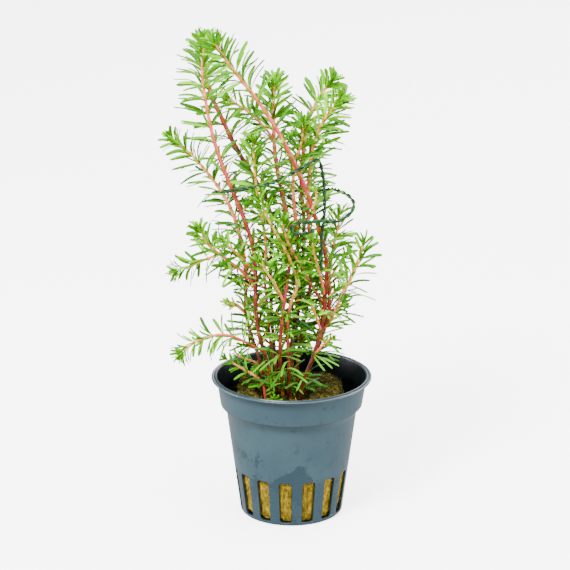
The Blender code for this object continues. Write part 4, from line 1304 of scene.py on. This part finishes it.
def pot_rows():
    """The pot's closed section as rows (radius, height, share of painted inner shade), and which rows bound
    the slots.
    """
    slot_heights = np.linspace(SLOT_FOOT, SLOT_TOP, SLOT_ROWS)
    under = [(AXIS_RADIUS, 0), (8, 0), (15.5, 0)] + arc((16.8, 0.5), 0.5, -90, -12, 5)
    collar = [
        (21.82, 34.6), (22.0, 35.4), (22.3, 36.1), (22.75, 36.85), (23.15, 37.45), (23.4, 37.86),
        (23.42, 38.04), (23.5, 38.1), (23.84, 38.12), (23.9, 38.18), (23.93, 38.4), (24.1, 39.4),
        (24.38, 41.2), (24.8, 44), (25.1, 45.9)]
    lip = [(25.3, 46.4), (25.8, 46.75), (26.4, 47.05)] + arc((26.7, 47.42), 0.3, -60, 70, 6)
    mouth = [
        (25.02, 47.5), (24.9, 47.1), (24.4, 45.8), (23.95, 42.7), (23.4, 39.6), (22.95, 38.1),
        (22.2, 36.9), (21.3, 35.2)]
    floor = [(15.9, 1.05), (14.5, FLOOR_THICKNESS), (8, FLOOR_THICKNESS), (AXIS_RADIUS, FLOOR_THICKNESS)]
    outer_heights = (*slot_heights, *WALL_HEIGHTS, OUTER_WALL_TOP)
    inner_heights = (INNER_WALL_TOP, *WALL_HEIGHTS[::-1], *slot_heights[::-1])
    outside = under + wall_rows(OUTER_WALL, outer_heights) + collar + lip
    # The lip's top, groove and bead, and the whole inner face, get painted shade by the share given with them
    lip_top = [(26.6, 47.74), (26.38, 47.72)]
    groove = [(26.16, 47.56), (26.0, 47.56)]
    bead = arc((25.5, 47.62), 0.38, 15, 165, 7)
    inside = mouth + wall_rows(INNER_WALL, inner_heights) + floor
    rows = [(radius, height, share)
            for piece, share in ((outside, 0), (lip_top, 0.15), (groove, 0.9), (bead, 0.7), (inside, 1))
            for radius, height in piece]
    return rows, len(under), len(rows) - len(floor) - SLOT_ROWS


def column_turns(height):
    """The angles of all columns at this height, and which of them start a strip inside a slot."""
    share = min(1, max(0, (height - SLOT_FOOT) / (SLOT_TOP - SLOT_FOOT)))
    half = (SLOT_WIDTH_FOOT + (SLOT_WIDTH_TOP - SLOT_WIDTH_FOOT) * share) / 2
    half_turn = half / wall_radius(OUTER_WALL, min(max(height, SLOT_FOOT), SLOT_TOP))
    turns, in_slot = [], []
    for slot in range(SLOT_COUNT):
        middle = FIRST_SLOT_ANGLE + slot * SLOT_PERIOD
        turns += [middle + share * half_turn for share in SLOT_COLUMNS]
        rib = np.linspace(middle + half_turn, middle + SLOT_PERIOD - half_turn, RIB_COLUMNS + 2)[1:-1]
        turns += list(rib)
        in_slot += [True] * (len(SLOT_COLUMNS) - 1) + [False] * (1 + RIB_COLUMNS)
    return turns, in_slot


def slot_corner(column_share, height, within):
    """Radius and height of a slot's end at this share of its half width, set back for its round corner."""
    at_top = height > (SLOT_FOOT + SLOT_TOP) / 2
    half = (SLOT_WIDTH_TOP if at_top else SLOT_WIDTH_FOOT) / 2
    beyond = abs(column_share) * half - (half - SLOT_CORNER)
    drop = 0 if beyond <= 0 else SLOT_CORNER - math.sqrt(max(0, SLOT_CORNER ** 2 - beyond ** 2))
    lifted = height - drop if at_top else height + drop
    return wall_radius(INNER_WALL if within else OUTER_WALL, lifted), lifted


def make_pot():
    """The pot's wall as rows and columns, with the slots left open and walled between its two faces."""
    rows, outer_start, inner_start = pot_rows()
    in_slot = column_turns(0)[1]
    columns = len(in_slot)
    outer_rows = range(outer_start, outer_start + SLOT_ROWS)
    inner_rows = range(inner_start, inner_start + SLOT_ROWS)[::-1]
    slot_ends = (outer_rows[0], outer_rows[-1], inner_rows[0], inner_rows[-1])
    verts, inside = [], []
    for number, (row_radius, row_height, within) in enumerate(rows):
        for column, turn in enumerate(column_turns(row_height)[0]):
            radius, height = row_radius, row_height
            strip = column % (len(SLOT_COLUMNS) + RIB_COLUMNS)
            if number in slot_ends and strip < len(SLOT_COLUMNS):
                radius, height = slot_corner(SLOT_COLUMNS[strip], row_height, within)
            verts.append((radius * math.cos(turn), radius * math.sin(turn), height))
            inside.append(within)

    def quad(*places):
        """The corners at these rows and columns."""
        return tuple(row * columns + column % columns for row, column in places)

    faces = []
    for row in range(len(rows) - 1):
        open_row = row in outer_rows[:-1] or row in inner_rows[1:]
        faces += [quad((row, column), (row, column + 1), (row + 1, column + 1), (row + 1, column))
                  for column in range(columns) if not (in_slot[column] and open_row)]
    for column in range(columns):
        after = column + 1
        if in_slot[column]:
            outer, inner = outer_rows[0], inner_rows[0]
            faces.append(quad((outer, column), (outer, after), (inner, after), (inner, column)))
            outer, inner = outer_rows[-1], inner_rows[-1]
            faces.append(quad((inner, column), (inner, after), (outer, after), (outer, column)))
        if in_slot[column] != in_slot[column - 1]:
            for step in range(SLOT_ROWS - 1):
                wall = quad((outer_rows[step], column), (outer_rows[step + 1], column),
                            (inner_rows[step + 1], column), (inner_rows[step], column))
                faces.append(wall[::-1] if in_slot[column] else wall)
    # The inside share rides on the mesh as the mask for painted shade
    piece = add_piece("pot", verts, faces, pot_look(), "net_pot", {"inside": inside})
    bm = bmesh.new()
    bm.from_mesh(piece.data)
    bmesh.ops.remove_doubles(bm, verts=bm.verts[:], dist=SAME_PLACE)
    bmesh.ops.recalc_face_normals(bm, faces=bm.faces[:])
    layer = bm.verts.layers.float["inside"]
    for face in bm.faces:
        # Faces wholly on the inner face take the painted-shade material
        face.material_index = int(all(vert[layer] > ALL_INSIDE for vert in face.verts))
    bm.to_mesh(piece.data)
    bm.free()
    piece.data.materials.append(inside_shade_look())
    bevel = piece.modifiers.new("Edges", "BEVEL")
    bevel.width = EDGE_WIDTH * MM
    bevel.segments = EDGE_SEGMENTS
    bevel.limit_method = "ANGLE"
    bevel.angle_limit = EDGE_ANGLE
    bevel.harden_normals = True


# Rock wool: how finely it is made
WOOL_COLUMNS = 450
WOOL_ANGLES = np.arange(WOOL_COLUMNS) * 2 * math.pi / WOOL_COLUMNS
WOOL_ROWS = 56
WOOL_TOP_ROWS = 12
FOOT_RINGS = (0.02, 0.4, 0.8)
WELL_RINGS = (0.2, 0.4, 0.6, 0.8, 1)
WELL_FLOOR_RINGS = (0.6, 0.3, 0.02)

# How the wool swells into the slots, between its sides and ends
SLOT_BULGE = 0.95
SLOT_BULGE_SPAN = 0.4
SLOT_BULGE_CURVE = 0.6
SLOT_BULGE_MARGIN = 0.08
SLOT_BULGE_TOP = 0.1
SLOT_BULGE_DEPTH = 1.5

# Its lumps and grain: size, fractal settings, and depth on the sides and more on the torn top
LUMP_SIZE = 4.5
LUMP_NOISE = (1.0, 2.0, 3)
LUMP_DEPTHS = (0.22, 0.95)
GRAIN_SIZE = 1.1
GRAIN_NOISE = (0.8, 2.0, 3)
GRAIN_DEPTHS = (0.14, 0.5)
GRAIN_SHIFT = Vector((7, 3, 1))
TORN_FROM = 36
TORN_SPAN = 6

# How far the sides, and more the torn top, sink in, and where one corner stands up instead
SINKS = (0.1, 0.35)
CORNER_RISE = 0.9
CORNER_FROM = 8

# Fibres: how many, how dense below, between and above these heights, their length, bend, lift and thickness
FIBRE_COUNT = 4200
FIBRE_SEED = 41
FIBRE_HEIGHTS = (1.6, 17.5, 37)
FIBRE_DENSITIES = (0, 1.6, 0.25, 3.0)
FIBRE_LENGTHS = (1.4, 4.2)
FIBRE_BEND = 0.35
FIBRE_LIFT = 0.09
FIBRE_HIGHEST = 0.55
FIBRE_LOWEST = 0.4
FIBRE_PROUD = 0.02
FIBRE_SINK = 0.12
FIBRE_THICKNESS = (0.035, 0.06)
FIBRE_TAPER = (0.4, 0.9, 1, 0.9, 0.4)
FIBRE_SIDES = 3


def level_ring(centre, reaches, height):
    """A level ring of the wool's columns, with its reach along x and along y."""
    across = centre[0] + reaches[0] * np.cos(WOOL_ANGLES)
    deep = centre[1] + reaches[1] * np.sin(WOOL_ANGLES)
    return np.column_stack((across, deep, np.full(WOOL_COLUMNS, float(height))))


def wool_outline(half_width, power, shift, height):
    """A ring between round (power 2) and square (a high power)."""
    reach = np.abs(np.cos(WOOL_ANGLES)) ** power + np.abs(np.sin(WOOL_ANGLES)) ** power
    reach = half_width / reach ** (1 / power)
    return level_ring((shift, shift), (reach, reach), height)


def slot_window(place):
    """1 in the middle of a slot, falling to 0 at its sides and beyond its ends."""
    x, y, z = place
    radius = math.hypot(x, y)
    if radius < FOOT_RADIUS - SLOT_BULGE_DEPTH or z > SLOT_TOP or z < SLOT_FOOT:
        return 0
    aside = abs(math.remainder(math.atan2(y, x) - FIRST_SLOT_ANGLE, SLOT_PERIOD)) * radius
    half = (SLOT_WIDTH_FOOT + (SLOT_WIDTH_TOP - SLOT_WIDTH_FOOT) * z / SLOT_TOP) / 2 - SLOT_BULGE_MARGIN
    room = min(half - aside, SLOT_TOP - SLOT_BULGE_TOP - z, z - SLOT_FOOT)
    return min(1, max(0, room / SLOT_BULGE_SPAN)) ** SLOT_BULGE_CURVE


def wool_rise(place):
    """How far the wool's surface stands off its plain form."""
    spot = Vector(place)
    lump = noise.fractal(spot / LUMP_SIZE, *LUMP_NOISE)
    grain = noise.fractal(spot / GRAIN_SIZE + GRAIN_SHIFT, *GRAIN_NOISE)
    torn = min(1, max(0, (place[2] - TORN_FROM) / TORN_SPAN))
    corner = torn * min(1, max(0, (place[0] - CORNER_FROM) / TORN_SPAN))
    lumps, grains, sinks = (side + more * torn for side, more in (LUMP_DEPTHS, GRAIN_DEPTHS, SINKS))
    return lump * lumps + grain * grains - sinks + CORNER_RISE * corner + SLOT_BULGE * slot_window(place)


def make_wool():
    """The plug as a rough, torn body with fibres standing off it."""
    sections = np.array(WOOL_SECTIONS)
    numbers = np.arange(len(sections))
    places = np.interp(np.linspace(0, 1, WOOL_ROWS), np.linspace(0, 1, len(sections)), numbers)
    sides = [wool_outline(*[np.interp(place, numbers, column) for column in sections.T]) for place in places]
    foot, edge = sides[0], sides[-1]
    well = level_ring(WELL_CENTRE, WELL_TOP_RADII, WOOL_TOP - WELL_RIM)
    floor = level_ring(WELL_CENTRE, WELL_FLOOR_RADII, WELL_FLOOR)
    middle, centre = foot.mean(axis=0), floor.mean(axis=0)
    rings = [middle + (foot - middle) * share for share in FOOT_RINGS] + sides
    rings += [edge + (well - edge) * share for share in np.linspace(0, 1, WOOL_TOP_ROWS + 1)[1:]]
    rings += [well + (floor - well) * share for share in WELL_RINGS]
    rings += [centre + (floor - centre) * share for share in WELL_FLOOR_RINGS]
    verts = np.vstack(rings)
    faces = tube_faces(1, len(rings), WOOL_COLUMNS)
    mesh = add_piece("rock_wool", verts, faces, wool_look("wool"), "wool_plug").data
    normals = np.array([vert.normal for vert in mesh.vertices])
    moved = np.array([vert + normal * wool_rise(vert) for vert, normal in zip(verts, normals)])
    mesh.vertices.foreach_set("co", (moved * MM).ravel())
    mesh.update()
    add_fibres(mesh)


def add_fibres(mesh):
    """Short curved fibres lying on the wool and lifting off it a little."""
    chance = np.random.default_rng(FIBRE_SEED)
    mesh.calc_loop_triangles()
    corners = np.array([[mesh.vertices[index].co[:] for index in triangle.vertices]
                        for triangle in mesh.loop_triangles]) / MM
    normals = np.cross(corners[:, 1] - corners[:, 0], corners[:, 2] - corners[:, 0])
    areas = np.linalg.norm(normals, axis=1) / 2
    band = np.searchsorted(FIBRE_HEIGHTS, corners.mean(axis=1)[:, 2])
    weights = areas * np.array(FIBRE_DENSITIES)[band]
    chosen = chance.choice(len(corners), FIBRE_COUNT, p=weights / weights.sum())
    shares = chance.dirichlet((1, 1, 1), FIBRE_COUNT)
    start = np.einsum("ij,ijk->ik", shares, corners[chosen])
    normal = units(normals[chosen])
    along = units(np.cross(normal, chance.normal(size=(FIBRE_COUNT, 3))))
    other = np.cross(normal, along)
    length = chance.uniform(*FIBRE_LENGTHS, FIBRE_COUNT)[:, None]
    bend = chance.normal(0, FIBRE_BEND, FIBRE_COUNT)[:, None] * length
    lift = np.minimum(np.abs(chance.normal(0, FIBRE_LIFT, FIBRE_COUNT))[:, None] * length, FIBRE_HIGHEST)
    thickness = chance.uniform(*FIBRE_THICKNESS, FIBRE_COUNT)
    points = np.stack([start + along * length * s + other * bend * (s * s * 4 - 0.5) * 0.5
                       + normal * (lift * (1 - 4 * s * s) + FIBRE_PROUD - FIBRE_SINK * abs(s))
                       for s in np.linspace(-0.5, 0.5, len(FIBRE_TAPER))], axis=1)
    points[..., 2] = np.maximum(points[..., 2], FIBRE_LOWEST)
    radii = thickness[:, None] * np.array(FIBRE_TAPER)
    verts = points[:, :, None] + ring_ways(normal, other, FIBRE_SIDES)[:, None] * radii[..., None, None]
    faces = tube_faces(*verts.shape[:3])
    add_piece("rock_wool_fibres", verts.reshape(-1, 3), faces, wool_look("fibres"), "wool_plug")


# Wire tie
STRAND_STEP = 0.36
STRAND_SIDES = 8
STRAND_ENDS = 0.55


def make_tie():
    """Two coated strands twisted round each other along the tie's route."""
    points = smooth_route(smooth_route(TIE_ROUTE, TIE_STEP), STRAND_STEP)
    side, other = frames_along(points)
    steps = np.linalg.norm(np.diff(points, axis=0), axis=1)
    turn = np.concatenate(([0], np.cumsum(steps))) / STRAND_PITCH * 2 * math.pi
    look = tie_look()
    for name, phase in (("tie_strand_a", 0), ("tie_strand_b", math.pi)):
        offset = side * np.cos(turn + phase)[:, None] + other * np.sin(turn + phase)[:, None]
        radii = np.full(len(points), STRAND_DIAMETER / 2)
        radii[[0, -1]] *= STRAND_ENDS
        verts, faces = tube_mesh(points + offset * STRAND_DIAMETER / 2, radii, STRAND_SIDES)
        add_piece(name, verts, faces, look, "wire_tie")


# Stage: each soft square light by its place, the point that it is aimed at, its size in metres and its power
LIGHTS = {
    "key": ((-0.45, -0.7, 0.95), (0, 0, 0.09), 0.4, 40),
    "fill": ((0.8, -0.75, 0.45), (0, 0, 0.08), 0.7, 12),
    "front": ((0, -1.3, 0.08), (0, 0, 0.05), 0.7, 9),
    "top": ((0.05, -0.1, 1.3), (0, 0, 0.1), 0.7, 16),
    "back": ((0.3, 0.9, 0.7), (0, 0, 0.1), 0.7, 12),
    "bounce": ((0, 0, 0.0002), (0, 0, 1), 0.9, 1.2),
    "left": ((-2.1, 0.2, 0.2), (0, 0, 0.06), 1.05, 76),
    "right": ((2.1, 0.2, 0.2), (0, 0, 0.06), 1.05, 76),
}
SKY_STRENGTH = 0.45
FLOOR_HALF_WIDTH = 5
FLOOR_HEIGHT = -0.0001


def add_object(name, data):
    """Put an object in the scene."""
    made = bpy.data.objects.new(name, data)
    bpy.context.scene.collection.objects.link(made)
    return made


def make_stage():
    """Floor, soft light and camera."""
    bm = bmesh.new()
    bmesh.ops.create_grid(bm, x_segments=1, y_segments=1, size=FLOOR_HALF_WIDTH)
    mesh = bpy.data.meshes.new("floor")
    bm.to_mesh(mesh)
    bm.free()
    mesh.materials.append(floor_look())
    floor = add_object("floor", mesh)
    floor.location.z = FLOOR_HEIGHT
    floor.visible_diffuse = False
    floor.visible_glossy = False

    world = bpy.data.worlds.new("studio")
    bpy.context.scene.world = world
    world.use_nodes = True
    background = world.node_tree.nodes["Background"]
    background.inputs["Color"].default_value = (1, 1, 1, 1)
    background.inputs["Strength"].default_value = SKY_STRENGTH
    for name, (place, aim, size, power) in LIGHTS.items():
        light = bpy.data.lights.new(name, "AREA")
        light.shape = "SQUARE"
        light.size = size
        light.energy = power
        lamp = add_object(name, light)
        lamp.location = place
        lamp.rotation_euler = (Vector(aim) - Vector(place)).to_track_quat("-Z", "Y").to_euler()
        lamp.visible_camera = False

    lens = bpy.data.cameras.new("camera")
    lens.lens = CAMERA_LENS
    camera = add_object("camera", lens)
    camera.location = Vector(CAMERA_PLACE) * MM
    camera.rotation_euler = (math.pi / 2 - CAMERA_PITCH, 0, 0)
    bpy.context.scene.camera = camera


make_stage()
make_tie()
make_pot()
make_wool()
make_plants()
